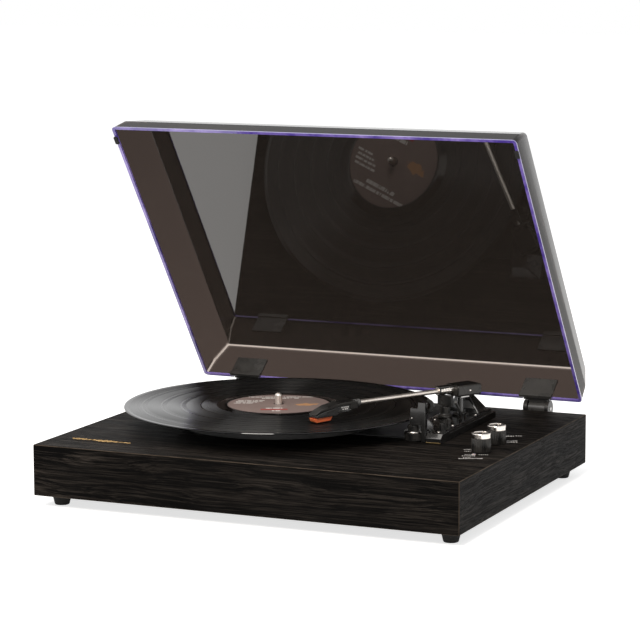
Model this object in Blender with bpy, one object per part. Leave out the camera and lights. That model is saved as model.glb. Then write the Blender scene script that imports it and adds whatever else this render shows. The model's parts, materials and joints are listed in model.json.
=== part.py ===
"""Turntable record player: a wood-grain plinth with a belt-driven platter, a straight tonearm on a
moulded base, two knobs, and a smoked dust cover that stands open on two friction hinges.

Each object is one physical piece. Lengths are in metres. While the pieces are made, X runs to the
right, Y to the back and Z up from the underside of the plinth, with the plinth centred on X and Y;
stand_on_origin then moves the whole machine so that it stands centred on the world's origin.
"""

import math

import bmesh
import bpy
from mathutils import Matrix, Vector

MM = 0.001
GAP = 0.3 * MM  # between pieces that touch on the real machine

# Plinth: a box open at the bottom, closed by a cover let into a rebate.
PLINTH_WIDTH = 430 * MM
PLINTH_DEPTH = 350 * MM
PLINTH_HEIGHT = 49 * MM
PLINTH_WALL = 15 * MM
PLINTH_TOP = 12 * MM
REBATE_WIDTH = 6 * MM
COVER_THICKNESS = 3 * MM
FOOT_HEIGHT = 11.5 * MM
FOOT_TOP_RADIUS = 9.5 * MM
FOOT_BOTTOM_RADIUS = 7 * MM
FOOT_INSET_X = 17 * MM
FOOT_INSET_Y = 24 * MM

# Record, mat and platter, all turning on the spindle.
SPINDLE_X = -42.4 * MM
SPINDLE_Y = 3.5 * MM
SPINDLE_RADIUS = 3.5 * MM
SPINDLE_RISE = 11.5 * MM
RECORD_RADIUS = 150.5 * MM
RECORD_THICKNESS = 1.6 * MM
RECORD_TOP = 21 * MM  # above the plinth
LABEL_RADIUS = 50 * MM
LABEL_RECESS = 0.6 * MM
LABEL_THICKNESS = 0.45 * MM
MAT_RADIUS = 98 * MM
MAT_THICKNESS = 2 * MM
PLATTER_RADIUS = 100 * MM
PLATTER_HEIGHT = 12 * MM
PLATTER_WEB = 4 * MM
PLATTER_RIM = 6 * MM
HUB_RADIUS = 13 * MM

# Belt drive under the platter.
DRIVE_RING_RADIUS = 70 * MM
DRIVE_RING_WALL = 3.5 * MM
PULLEY_RADIUS = 5.5 * MM
PULLEY_DISTANCE = 84 * MM
PULLEY_BEARING = math.radians(60)
BELT_THICKNESS = 0.8 * MM
BELT_WIDTH = 4 * MM
MOTOR_RADIUS = 17 * MM
MOTOR_HEIGHT = 22 * MM
CHASSIS_THICKNESS = 1.6 * MM
CHASSIS_LEFT = -72 * MM
CHASSIS_FRONT = -13.5 * MM
CHASSIS_BACK = 98 * MM
HOUSING_RADIUS = 8 * MM
HOUSING_DEPTH = 30 * MM

# Tonearm base, moulded in one with the hump at its back.
BASE_RIGHT = 138.5 * MM
BASE_LEFT = 97 * MM
BASE_FRONT = -25.4 * MM
BASE_BACK = 122.5 * MM
BASE_HEIGHT = 9 * MM
BASE_SLOPE_RUN = 7 * MM
BASE_SLOPE_DROP = 4 * MM
BASE_STEP_WIDTH = 4.5 * MM
BASE_STEP_DROP = 2.2 * MM
HUMP_HEIGHT = 15.5 * MM
HUMP_DEPTH = 29 * MM

# Tonearm: it points along -Y in its own frame, which turns about the pivot. The tilt pin lies
# behind the pivot and below the tube, and distances along the arm are counted from it.
PIVOT_X = 118 * MM
PIVOT_Y = 78.5 * MM
PIN_BEHIND = 4 * MM
PIN_DROP = 1.2 * MM
ARM_HEIGHT = 35.5 * MM  # tube axis above the plinth
ARM_LENGTH = 182 * MM  # tilt pin to stylus tip
ARM_YAW = math.radians(-29.1)
TUBE_RADIUS = 2.4 * MM
HOUSING_LENGTH = 30 * MM
HOUSING_WIDTH = 21 * MM
HOUSING_RISE = 4.4 * MM
HOUSING_DROP = 6.6 * MM
HOUSING_SHELL = 3.5 * MM
TILT_PIN_RADIUS = 1.0 * MM
SWING_SHAFT_RADIUS = 1.4 * MM
COLLAR_LENGTH = 17.5 * MM
COLLAR_BACK_RADIUS = 4.2 * MM
COLLAR_FRONT_RADIUS = 3.6 * MM
HOOD_WIDTH = 8 * MM
HOOD_RISE = 5.2 * MM
HEADSHELL_BACK = 135 * MM
HEADSHELL_TIP = 184.5 * MM
HEADSHELL_WIDTH = 14 * MM
CARTRIDGE_WIDTH = 11.5 * MM
STYLUS_HOLDER_WIDTH = 8.5 * MM

# Cueing: a lever beside the arm raises a curved bar under it.
LIFT_RADIUS = 20.5 * MM
LIFT_BAR_WIDTH = 6 * MM
LIFT_BAR_HEIGHT = 10 * MM
LIFT_FIRST_ANGLE = math.radians(-50)
LIFT_LAST_ANGLE = math.radians(0)
LIFT_STEM_RADIUS = 2.5 * MM
LEVER_X = 126 * MM
LEVER_Y = 62 * MM
LEVER_LENGTH = 21 * MM
LEVER_LEAN = math.radians(47)

# Arm rest at the front left corner of the base.
REST_X = 108.6 * MM
REST_Y = -17.5 * MM
REST_RADIUS = 9.6 * MM
REST_HEIGHT = 10 * MM
REST_DISC_RADIUS = 6.5 * MM
REST_DISC_HEIGHT = 6 * MM
BRACKET_FRONT = -26 * MM
BRACKET_BACK = -20 * MM
BRACKET_LEFT = 107.6 * MM
SEAT_WIDTH = 7.8 * MM
POST_WIDTH = 7.4 * MM
POST_HEIGHT = 38.5 * MM
CLIP_THICKNESS = 2.4 * MM
CLIP_WIDTH = 3.2 * MM  # of the hook, seen from the front
CLIP_PIVOT_DROP = 10.2 * MM
CLIP_OPEN = math.radians(55)
SELECTOR_PLACE = (126.5 * MM, 7 * MM)
AUTO_STOP_PLACE = (124 * MM, 32 * MM)
SWITCH_RADIUS = 2 * MM
SWITCH_RISE = 5 * MM
SELECTOR_TRAVEL = (-4 * MM, 4 * MM)
AUTO_STOP_TRAVEL = (0 * MM, 5 * MM)

# Knobs, their controls and the status lamp.
KNOB_RADIUS = 9.3 * MM
KNOB_HEIGHT = 18.5 * MM
KNOB_CAP_HEIGHT = 4.8 * MM
KNOB_RIBS = 36
VOLUME_PLACE = (186 * MM, -44 * MM)
MODE_PLACE = (185.3 * MM, -1.3 * MM)
CONTROL_SHAFT_RADIUS = 2.5 * MM
LAMP_PLACE = (184 * MM, -58 * MM)
LAMP_RADIUS = 2.1 * MM

# Connections on the back, board inside, ornament on the top.
JACK_PLATE_X = -96 * MM
JACK_PLATE_WIDTH = 70 * MM
JACK_PLATE_HEIGHT = 26 * MM
JACK_PLATE_THICKNESS = 2 * MM
JACK_BARREL_RADIUS = 4.2 * MM
JACK_SPACING = 16 * MM
BOARD_SIZE = (90 * MM, 48 * MM, 1.6 * MM)
ORNAMENT_PLACE = (-163.5 * MM, -136 * MM)
ORNAMENT_LENGTH = 68 * MM
ORNAMENT_WAVES = 5

# Dust cover, drawn closed and then turned open about the hinge pins.
LID_SIDE_MARGIN = 5.5 * MM  # plinth that shows beside the closed cover, and in front of it
LID_FRONT_MARGIN = 6 * MM
LID_BACK_MARGIN = 2 * MM
LID_WIDTH = PLINTH_WIDTH - 2 * LID_SIDE_MARGIN
LID_DEPTH = PLINTH_DEPTH - LID_FRONT_MARGIN - LID_BACK_MARGIN
LID_HEIGHT = 47 * MM
LID_WALL = 2.8 * MM
LID_CREASE = 20 * MM  # height of the fold in the sides above the rim
LID_CREASE_INSETS = (1.5 * MM, 9 * MM)  # sides, front
LID_TOP_INSETS = (9 * MM, 30 * MM)
LID_EDGE_RADIUS = 4 * MM
LID_LIFT = 2.5 * MM  # rim above the plinth when closed
LID_OPEN = math.radians(54.1)
HINGE_X = 161 * MM
HINGE_BEHIND = 9 * MM  # pin behind the plinth's back face
HINGE_ABOVE = 1 * MM  # pin above the plinth's top
HINGE_PLATE_WIDTH = 34.5 * MM
HINGE_LEAF_HEIGHT = 24 * MM  # above the cover's rim
HINGE_LEAF_THICKNESS = 2.6 * MM
HINGE_LIP_DROP = 1.8 * MM  # below the cover's rim
EAR_RADIUS = 8.5 * MM
EAR_THICKNESS = 4 * MM
KNUCKLE_RADIUS = 6 * MM
KNUCKLE_WIDTH = 18 * MM
HINGE_PIN_RADIUS = 2 * MM
BUMPER_LENGTH = 8.5 * MM
BUMPER_WIDTH = 4 * MM
BUMPER_INSET = 12 * MM

COARSE = 20  # sides of small round pieces
FINE = 72  # sides of the platter and the record


# Shapes ------------------------------------------------------------------------------------------

def box(low, high):
    """A box between two opposite corners."""
    low, high = Vector(low), Vector(high)
    bm = bmesh.new()
    bmesh.ops.create_cube(bm, size=1)
    bmesh.ops.scale(bm, vec=high - low, verts=bm.verts)
    bmesh.ops.translate(bm, vec=(low + high) / 2, verts=bm.verts)
    return bm


def rounded(bm, radius, segments=2, pick=None):
    """Rounds the picked edges, or all of them."""
    edges = [edge for edge in bm.edges if pick is None or pick(edge)]
    bmesh.ops.bevel(bm, geom=edges, offset=radius, segments=segments, profile=0.5,
                    affect="EDGES", clamp_overlap=True, material=-1)
    return bm


def turned(profile, sides=COARSE, axis="Z"):
    """A turned piece, shaded smooth: the profile's (radius, height) points spun about an axis."""
    bm = bmesh.new()
    points = [bm.verts.new((radius, 0, height)) for radius, height in profile]
    edges = [bm.edges.new(pair) for pair in zip(points, points[1:])]
    if profile[0][0] > 0 or profile[-1][0] > 0:
        edges.append(bm.edges.new((points[-1], points[0])))
    bmesh.ops.spin(bm, geom=points + edges, cent=(0, 0, 0), axis=(0, 0, 1), angle=math.tau,
                   steps=sides, use_merge=True)
    bmesh.ops.remove_doubles(bm, verts=bm.verts, dist=1e-6)
    for face in bm.faces:
        face.smooth = True
    if axis == "X":
        bmesh.ops.rotate(bm, verts=bm.verts, matrix=Matrix.Rotation(math.pi / 2, 3, "Y"))
    elif axis == "Y":
        bmesh.ops.rotate(bm, verts=bm.verts, matrix=Matrix.Rotation(-math.pi / 2, 3, "X"))
    return bm


def rod(radius, low, high, sides=COARSE, axis="Z"):
    return turned([(0, low), (radius, low), (radius, high), (0, high)], sides, axis)


def tube(outer, inner, low, high, sides=COARSE, axis="Z"):
    return turned([(inner, low), (outer, low), (outer, high), (inner, high)], sides, axis)


def prism(outline, low, high, axis="Z"):
    """An outline pulled from low to high. Its points are (x, y); for axis X they are (y, z) and
    for axis Y they are (x, z)."""
    places = {"Z": lambda a, b: (a, b, low), "X": lambda a, b: (low, a, b), "Y": lambda a, b: (a, low, b)}
    along = {"Z": (0, 0, 1), "X": (1, 0, 0), "Y": (0, 1, 0)}[axis]
    bm = bmesh.new()
    face = bm.faces.new([bm.verts.new(places[axis](a, b)) for a, b in outline])
    pulled = bmesh.ops.extrude_face_region(bm, geom=[face])
    moved = [item for item in pulled["geom"] if isinstance(item, bmesh.types.BMVert)]
    bmesh.ops.translate(bm, vec=Vector(along) * (high - low), verts=moved)
    return bm


def frustum(low, high, z_low, z_high):
    """A block whose rectangular bottom and top, each (x0, y0, x1, y1), differ."""
    bm = bmesh.new()
    rings = []
    for (x0, y0, x1, y1), z in ((low, z_low), (high, z_high)):
        rings.append([bm.verts.new(p) for p in ((x0, y0, z), (x1, y0, z), (x1, y1, z), (x0, y1, z))])
    for i in range(4):
        j = (i + 1) % 4
        bm.faces.new((rings[0][i], rings[0][j], rings[1][j], rings[1][i]))
    bm.faces.new(rings[0])
    bm.faces.new(rings[1])
    return bm


def arc(radius, first, last, steps):
    """Points on an arc about the origin, angles counted from +X."""
    turn = (last - first) / steps
    angles = [first + i * turn for i in range(steps + 1)]
    return [(radius * math.cos(angle), radius * math.sin(angle)) for angle in angles]


def moved(bm, x=0.0, y=0.0, z=0.0):
    bmesh.ops.translate(bm, vec=(x, y, z), verts=bm.verts)
    return bm


# Objects -----------------------------------------------------------------------------------------

def finish(name, colour, roughness, metallic=0.0):
    """A material with one colour, roughness and metallic value."""
    material = bpy.data.materials.new(name)
    material.use_nodes = True
    shader = material.node_tree.nodes["Principled BSDF"]
    shader.inputs["Base Color"].default_value = (*colour, 1)
    shader.inputs["Roughness"].default_value = roughness
    shader.inputs["Metallic"].default_value = metallic
    return material


def joint(name, place, parent, turn=(0, 0, 0)):
    """An empty on a joint's axis. It carries the pieces that move together."""
    empty = bpy.data.objects.new(name, None)
    empty.location = place
    empty.rotation_euler = turn
    empty.parent = parent
    bpy.context.scene.collection.objects.link(empty)
    return empty


def piece(name, bm, material, parent, place=(0, 0, 0)):
    """One physical piece of the machine."""
    bmesh.ops.recalc_face_normals(bm, faces=bm.faces)
    mesh = bpy.data.meshes.new(name)
    bm.to_mesh(mesh)
    bm.free()
    mesh.materials.append(material)
    mesh.set_sharp_from_angle(angle=math.radians(35))
    obj = bpy.data.objects.new(name, mesh)
    obj.parent = parent
    obj.location = place
    bpy.context.scene.collection.objects.link(obj)
    return obj


def shape(obj, bm, operation):
    """Cuts a helper shape out of a piece, or joins it on. The helper lies in the piece's frame."""
    helper = piece(f"{obj.name}_{operation.lower()}_{len(obj.modifiers)}", bm, obj.data.materials[0], obj)
    helper.hide_render = True
    helper.display_type = "WIRE"
    modifier = obj.modifiers.new(helper.name, "BOOLEAN")
    modifier.operation = operation
    modifier.object = helper


def cut(obj, *shapes):
    for bm in shapes:
        shape(obj, bm, "DIFFERENCE")


def join(obj, *shapes):
    for bm in shapes:
        shape(obj, bm, "UNION")


# The machine -------------------------------------------------------------------------------------

def make_finishes():
    return {
        "wood_grain": finish("wood_grain", (0.030, 0.026, 0.023), 0.5),
        "board": finish("board", (0.02, 0.07, 0.04), 0.5),
        "black_plastic": finish("black_plastic", (0.012, 0.012, 0.013), 0.35),
        "gloss_black": finish("gloss_black", (0.008, 0.008, 0.009), 0.15),
        "rubber": finish("rubber", (0.015, 0.015, 0.015), 0.85),
        "vinyl": finish("vinyl", (0.006, 0.006, 0.007), 0.2),
        "label": finish("label", (0.30, 0.20, 0.18), 0.6),
        "steel": finish("steel", (0.55, 0.55, 0.56), 0.3, 1.0),
        "chrome": finish("chrome", (0.75, 0.73, 0.72), 0.12, 1.0),
        "black_metal": finish("black_metal", (0.02, 0.02, 0.02), 0.4, 0.6),
        "brass": finish("brass", (0.60, 0.42, 0.18), 0.35, 1.0),
        "gold": finish("gold", (0.70, 0.46, 0.16), 0.3, 1.0),
        "orange": finish("orange", (0.80, 0.09, 0.02), 0.4),
        "grey_plastic": finish("grey_plastic", (0.09, 0.09, 0.09), 0.4),
        "lamp": finish("lamp", (0.65, 0.45, 0.42), 0.3),
        "smoked_acrylic": finish("smoked_acrylic", (0.10, 0.08, 0.07), 0.05),
        "red_plastic": finish("red_plastic", (0.5, 0.02, 0.02), 0.4),
        "white_plastic": finish("white_plastic", (0.7, 0.7, 0.68), 0.4),
    }


def pulley_place():
    """The motor's axis, from the spindle's."""
    return (SPINDLE_X + PULLEY_DISTANCE * math.cos(PULLEY_BEARING),
            SPINDLE_Y + PULLEY_DISTANCE * math.sin(PULLEY_BEARING))


def make_plinth(root, looks):
    half_width, half_depth = PLINTH_WIDTH / 2, PLINTH_DEPTH / 2
    plinth = piece("plinth", box((-half_width, -half_depth, 0), (half_width, half_depth, PLINTH_HEIGHT)),
                   looks["wood_grain"], root)
    inner = (half_width - PLINTH_WALL, half_depth - PLINTH_WALL)
    rebate = (inner[0] + REBATE_WIDTH, inner[1] + REBATE_WIDTH)
    ceiling = PLINTH_HEIGHT - PLINTH_TOP
    cut(plinth,
        box((-inner[0], -inner[1], -PLINTH_WALL), (inner[0], inner[1], ceiling)),
        box((-rebate[0], -rebate[1], -PLINTH_WALL), (rebate[0], rebate[1], COVER_THICKNESS + GAP)))
    through = (ceiling - PLINTH_WALL, PLINTH_HEIGHT + PLINTH_WALL)
    motor_x, motor_y = pulley_place()
    for radius, x, y in (
        (HOUSING_RADIUS + 1.5 * MM, SPINDLE_X, SPINDLE_Y),
        (MOTOR_RADIUS + 1.5 * MM, motor_x, motor_y),
        (CONTROL_SHAFT_RADIUS + 1.7 * MM, *VOLUME_PLACE),
        (CONTROL_SHAFT_RADIUS + 1.7 * MM, *MODE_PLACE),
        (LAMP_RADIUS + GAP, *LAMP_PLACE),
    ):
        cut(plinth, moved(rod(radius, *through), x, y))
    opening = (JACK_PLATE_WIDTH / 2 - 4 * MM, JACK_PLATE_HEIGHT / 2 - 4 * MM)
    middle = jack_height()
    cut(plinth, box((JACK_PLATE_X - opening[0], inner[1] - PLINTH_WALL, middle - opening[1]),
                    (JACK_PLATE_X + opening[0], half_depth + PLINTH_WALL, middle + opening[1])))
    cover = (rebate[0] - GAP, rebate[1] - GAP)
    bottom = piece("bottom_cover", box((-cover[0], -cover[1], 0), (cover[0], cover[1], COVER_THICKNESS)),
                   looks["black_plastic"], root)
    for i in range(5):
        x = (i - 2) * 14 * MM
        cut(bottom, box((x - 2 * MM, -20 * MM, -PLINTH_WALL), (x + 2 * MM, 20 * MM, PLINTH_WALL)))
    for name_x, side_x in (("left", -1), ("right", 1)):
        for name_y, side_y in (("front", -1), ("back", 1)):
            place = (side_x * (half_width - FOOT_INSET_X), side_y * (half_depth - FOOT_INSET_Y), 0)
            profile = [(0, -GAP), (FOOT_TOP_RADIUS, -GAP), (FOOT_TOP_RADIUS, -2.5 * MM),
                       (FOOT_BOTTOM_RADIUS, -FOOT_HEIGHT), (0, -FOOT_HEIGHT)]
            piece(f"foot_{name_y}_{name_x}", turned(profile), looks["rubber"], root, place)


def make_ornament(root, looks):
    """A raised gilt flourish: one wave that swells in the middle and runs out to fine points."""
    steps = 60
    bm = bmesh.new()
    rings = []
    for i in range(steps + 1):
        t = i / steps
        swell = math.sin(math.pi * t)
        x = (t - 0.5) * ORNAMENT_LENGTH
        y = 3.2 * MM * swell * math.sin(ORNAMENT_WAVES * math.tau * t)
        half = (0.35 + 0.55 * swell) * MM
        rings.append([bm.verts.new(p) for p in ((x, y - half, 0), (x, y + half, 0),
                                                (x, y + half, 0.8 * MM), (x, y - half, 0.8 * MM))])
    for first, second in zip(rings, rings[1:]):
        for i in range(4):
            j = (i + 1) % 4
            bm.faces.new((first[i], first[j], second[j], second[i]))
    bm.faces.new(rings[0])
    bm.faces.new(rings[-1])
    piece("ornament", bm, looks["gold"], root, (*ORNAMENT_PLACE, PLINTH_HEIGHT + GAP))


def make_drive(root, looks):
    top = PLINTH_HEIGHT
    motor_x, motor_y = pulley_place()
    chassis_right = BASE_LEFT - 2 * GAP
    chassis = piece("chassis_plate", box((CHASSIS_LEFT, CHASSIS_FRONT, top + GAP),
                                         (chassis_right, CHASSIS_BACK, top + GAP + CHASSIS_THICKNESS)),
                    looks["black_metal"], root)
    cut(chassis,
        moved(rod(HOUSING_RADIUS + GAP, 0, 2 * top), SPINDLE_X, SPINDLE_Y),
        moved(rod(4 * MM, 0, 2 * top), motor_x, motor_y))
    flange = top + GAP + CHASSIS_THICKNESS + GAP
    bore = SPINDLE_RADIUS + GAP
    floor = top - HOUSING_DEPTH
    housing = [(0, floor), (HOUSING_RADIUS, floor), (HOUSING_RADIUS, flange), (15 * MM, flange),
               (15 * MM, flange + 1.7 * MM), (bore, flange + 1.7 * MM), (bore, floor + 1.7 * MM),
               (0, floor + 1.7 * MM)]
    piece("bearing_housing", turned(housing), looks["brass"], root, (SPINDLE_X, SPINDLE_Y, 0))
    can = [(0, top - MOTOR_HEIGHT), (MOTOR_RADIUS - 2 * MM, top - MOTOR_HEIGHT),
           (MOTOR_RADIUS, top - MOTOR_HEIGHT + 2 * MM), (MOTOR_RADIUS, top), (1.5 * MM, top),
           (1.5 * MM, top - 6 * MM), (0, top - 6 * MM)]
    piece("motor", turned(can, 28), looks["steel"], root, (motor_x, motor_y, 0))

    pulley_turn = joint("pulley_joint", (motor_x, motor_y, 0), root)
    belt_low = belt_height()
    flange_radius = PULLEY_RADIUS + BELT_THICKNESS + 0.6 * MM
    pulley = [(0, top - 5 * MM), (1.2 * MM, top - 5 * MM), (1.2 * MM, belt_low - 1.6 * MM),
              (flange_radius, belt_low - 1.6 * MM), (flange_radius, belt_low - GAP),
              (PULLEY_RADIUS, belt_low - GAP), (PULLEY_RADIUS, belt_low + BELT_WIDTH + GAP),
              (0, belt_low + BELT_WIDTH + GAP)]
    piece("motor_pulley", turned(pulley), looks["brass"], pulley_turn)
    piece("drive_belt", belt(belt_low), looks["rubber"], root, (SPINDLE_X, SPINDLE_Y, 0))


def belt_height():
    """The belt's lower edge."""
    return platter_top() - PLATTER_WEB - GAP - BELT_WIDTH


def belt(low):
    """A flat belt round the drive ring and the pulley, about the spindle."""
    def run(extra):
        big = DRIVE_RING_RADIUS + GAP + extra
        small = PULLEY_RADIUS + GAP + extra
        lean = math.acos((big - small) / PULLEY_DISTANCE)
        x, y = (PULLEY_DISTANCE * math.cos(PULLEY_BEARING), PULLEY_DISTANCE * math.sin(PULLEY_BEARING))
        round_ring = arc(big, PULLEY_BEARING + lean, PULLEY_BEARING + math.tau - lean, 48)
        round_pulley = arc(small, PULLEY_BEARING - lean, PULLEY_BEARING + lean, 10)
        return round_ring + [(x + a, y + b) for a, b in round_pulley]

    inner, outer = run(0), run(BELT_THICKNESS)
    bm = bmesh.new()
    high = low + BELT_WIDTH
    rings = [[bm.verts.new((x, y, z)) for x, y in loop]
             for loop, z in ((inner, low), (outer, low), (outer, high), (inner, high))]
    count = len(inner)
    for a, b in zip(rings, rings[1:] + rings[:1]):
        for i in range(count):
            j = (i + 1) % count
            bm.faces.new((a[i], a[j], b[j], b[i]))
    return bm


def platter_top():
    return PLINTH_HEIGHT + RECORD_TOP - RECORD_THICKNESS - GAP - MAT_THICKNESS - GAP


def make_platter(root, looks):
    turn = joint("platter_joint", (SPINDLE_X, SPINDLE_Y, 0), root)
    bore = SPINDLE_RADIUS + GAP
    high = platter_top()
    low = high - PLATTER_HEIGHT
    web = high - PLATTER_WEB
    ring_low = belt_height() - 1.2 * MM
    hub_low = low + 1.5 * MM
    rim_inner = PLATTER_RADIUS - PLATTER_RIM
    ring_inner = DRIVE_RING_RADIUS - DRIVE_RING_WALL
    profile = [(bore, hub_low), (HUB_RADIUS, hub_low), (HUB_RADIUS, web), (ring_inner, web),
               (ring_inner, ring_low), (DRIVE_RING_RADIUS, ring_low), (DRIVE_RING_RADIUS, web),
               (rim_inner, web), (rim_inner, low), (PLATTER_RADIUS - 1 * MM, low),
               (PLATTER_RADIUS, low + 1 * MM), (PLATTER_RADIUS, high - 1 * MM),
               (PLATTER_RADIUS - 1 * MM, high), (bore, high)]
    piece("platter", turned(profile, FINE), looks["black_metal"], turn)
    mat_low = high + GAP
    mat = [(bore, mat_low), (MAT_RADIUS, mat_low), (MAT_RADIUS, mat_low + MAT_THICKNESS),
           (bore, mat_low + MAT_THICKNESS)]
    piece("slip_mat", turned(mat, FINE), looks["rubber"], turn)
    top = PLINTH_HEIGHT + RECORD_TOP
    bottom = top - RECORD_THICKNESS
    bead = 2.4 * MM
    dip = 0.25 * MM
    record = [(bore, bottom), (RECORD_RADIUS - 0.6 * MM, bottom), (RECORD_RADIUS, bottom + 0.5 * MM),
              (RECORD_RADIUS, top - 0.5 * MM), (RECORD_RADIUS - 0.6 * MM, top), (RECORD_RADIUS - bead, top),
              (RECORD_RADIUS - bead - 1 * MM, top - dip), (LABEL_RADIUS + 5 * MM, top - dip),
              (LABEL_RADIUS + 4 * MM, top), (LABEL_RADIUS + GAP, top),
              (LABEL_RADIUS + GAP, top - LABEL_RECESS), (bore, top - LABEL_RECESS)]
    piece("record", turned(record, FINE), looks["vinyl"], turn)
    label_low = top - LABEL_RECESS + GAP
    label = [(bore, label_low), (LABEL_RADIUS, label_low), (LABEL_RADIUS, label_low + LABEL_THICKNESS),
             (bore, label_low + LABEL_THICKNESS)]
    piece("record_label", turned(label, 48), looks["label"], turn)
    tip = top + SPINDLE_RISE
    collar_low = PLINTH_HEIGHT + CHASSIS_THICKNESS + 2 * GAP + 1.7 * MM + GAP
    foot = PLINTH_HEIGHT - HOUSING_DEPTH + 1.7 * MM + GAP
    spindle = [(0, foot), (SPINDLE_RADIUS, foot), (SPINDLE_RADIUS, collar_low), (7 * MM, collar_low),
               (7 * MM, hub_low - GAP), (SPINDLE_RADIUS, hub_low - GAP), (SPINDLE_RADIUS, tip - 4 * MM),
               (SPINDLE_RADIUS * 0.88, tip - 2.2 * MM), (SPINDLE_RADIUS * 0.5, tip - 0.6 * MM), (0, tip)]
    piece("spindle", turned(spindle), looks["steel"], turn)


def make_control(root, looks, name, place, body_name):
    """A knob with its cap and shaft, and the control that it turns."""
    x, y = place
    top = PLINTH_HEIGHT
    ceiling = top - PLINTH_TOP - GAP
    bush = CONTROL_SHAFT_RADIUS + 1.4 * MM
    bore = CONTROL_SHAFT_RADIUS + GAP
    seat = ceiling - 4 * MM
    control = piece(body_name, box((-8 * MM, -8 * MM, ceiling - 8 * MM), (8 * MM, 8 * MM, ceiling)),
                    looks["grey_plastic"], root, (x, y, 0))
    join(control, rod(bush, ceiling - 2 * MM, top - 0.5 * MM))
    cut(control, rod(bore, seat - GAP, top + GAP))
    turn = joint(f"{name}_joint", (x, y, 0), root)
    shaft_top = top + KNOB_HEIGHT - KNOB_CAP_HEIGHT - 3 * MM
    piece(f"{name}_shaft", rod(CONTROL_SHAFT_RADIUS, seat, shaft_top), looks["steel"], turn)
    skirt_top = top + KNOB_HEIGHT - KNOB_CAP_HEIGHT - GAP
    count = 2 * KNOB_RIBS
    outline = []
    for i in range(count):
        radius = KNOB_RADIUS - (0.45 * MM if i % 2 else 0)
        outline.append((radius * math.cos(math.tau * i / count), radius * math.sin(math.tau * i / count)))
    skirt = prism(outline, top + 2 * GAP, skirt_top)
    for vert in skirt.verts:
        if vert.co.z > top + KNOB_HEIGHT / 2:
            vert.co.x *= 0.95
            vert.co.y *= 0.95
    knob = piece(f"{name}_knob", skirt, looks["black_plastic"], turn)
    cut(knob, rod(bore, top - 2 * MM, shaft_top + GAP))
    cap_low = skirt_top + GAP
    cap_top = top + KNOB_HEIGHT
    cap_radius = KNOB_RADIUS * 0.94
    cap = [(0, cap_low), (cap_radius, cap_low), (cap_radius, cap_top - 0.7 * MM),
           (cap_radius - 0.7 * MM, cap_top), (cap_radius - 1.6 * MM, cap_top),
           (cap_radius - 2.1 * MM, cap_top - 0.6 * MM), (0, cap_top - 0.6 * MM)]
    piece(f"{name}_knob_cap", turned(cap, 32), looks["chrome"], turn)


def make_controls(root, looks):
    make_control(root, looks, "volume", VOLUME_PLACE, "volume_control")
    make_control(root, looks, "mode", MODE_PLACE, "mode_switch")
    top = PLINTH_HEIGHT
    lamp = [(0, top - 6 * MM), (LAMP_RADIUS, top - 6 * MM), (LAMP_RADIUS, top),
            (LAMP_RADIUS * 0.75, top + 0.7 * MM), (0, top + 1 * MM)]
    piece("status_lamp", turned(lamp, 16), looks["lamp"], root, (*LAMP_PLACE, 0))


def jack_height():
    return PLINTH_HEIGHT * 0.48


def make_connections(root, looks):
    back = PLINTH_DEPTH / 2
    middle = jack_height()
    half_width, half_height = JACK_PLATE_WIDTH / 2, JACK_PLATE_HEIGHT / 2
    low = back + GAP
    high = low + JACK_PLATE_THICKNESS
    plate = piece("jack_plate", box((-half_width, low, -half_height), (half_width, high, half_height)),
                  looks["black_plastic"], root, (JACK_PLATE_X, 0, middle))
    inlet_x = -JACK_SPACING * 1.25
    jacks = ((JACK_SPACING * 0.15, "left", "white_plastic"), (JACK_SPACING * 1.15, "right", "red_plastic"))
    for x, side, colour in jacks:
        cut(plate, moved(rod(JACK_BARREL_RADIUS + GAP, low - 9 * MM, high + 9 * MM, axis="Y"), x))
        inside = low - 10 * MM
        flange = high + GAP
        profile = [(0, inside), (JACK_BARREL_RADIUS, inside), (JACK_BARREL_RADIUS, flange),
                   (JACK_BARREL_RADIUS + 1.6 * MM, flange),
                   (JACK_BARREL_RADIUS + 1.6 * MM, flange + 1.5 * MM),
                   (JACK_BARREL_RADIUS, flange + 1.5 * MM), (JACK_BARREL_RADIUS, flange + 8.5 * MM),
                   (1.7 * MM, flange + 8.5 * MM), (1.7 * MM, flange - 4 * MM), (0, flange - 4 * MM)]
        piece(f"phono_jack_{side}", turned(profile, axis="Y"), looks[colour], root,
              (JACK_PLATE_X + x, 0, middle))
    body = (5.5 * MM, 5.5 * MM)
    cut(plate, box((inlet_x - body[0] - GAP, low - 9 * MM, -body[1] - GAP),
                   (inlet_x + body[0] + GAP, high + 9 * MM, body[1] + GAP)))
    inlet = piece("power_inlet",
                  box((-body[0], low - 10 * MM, -body[1]), (body[0], high + 1 * MM, body[1])),
                  looks["black_plastic"], root, (JACK_PLATE_X + inlet_x, 0, middle))
    cut(inlet, rod(3.1 * MM, low - 7 * MM, high + 9 * MM, axis="Y"))

    ceiling = PLINTH_HEIGHT - PLINTH_TOP - GAP
    width, depth, thickness = BOARD_SIZE
    board_low = ceiling - 13 * MM
    board = piece("main_board", box((-width / 2, -depth / 2, board_low),
                                    (width / 2, depth / 2, board_low + thickness)),
                  looks["board"], root, (JACK_PLATE_X, back - PLINTH_WALL - 12 * MM - depth / 2, 0))
    corner = (width / 2 - 4 * MM, depth / 2 - 4 * MM)
    for side_x in (-1, 1):
        for side_y in (-1, 1):
            join(board, moved(rod(2.5 * MM, board_low + thickness / 2, ceiling, 10),
                              side_x * corner[0], side_y * corner[1]))
    for i in range(3):
        join(board, moved(rod(4 * MM, board_low - 9 * MM, board_low + thickness / 2, 14), (i - 1) * 14 * MM))


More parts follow.
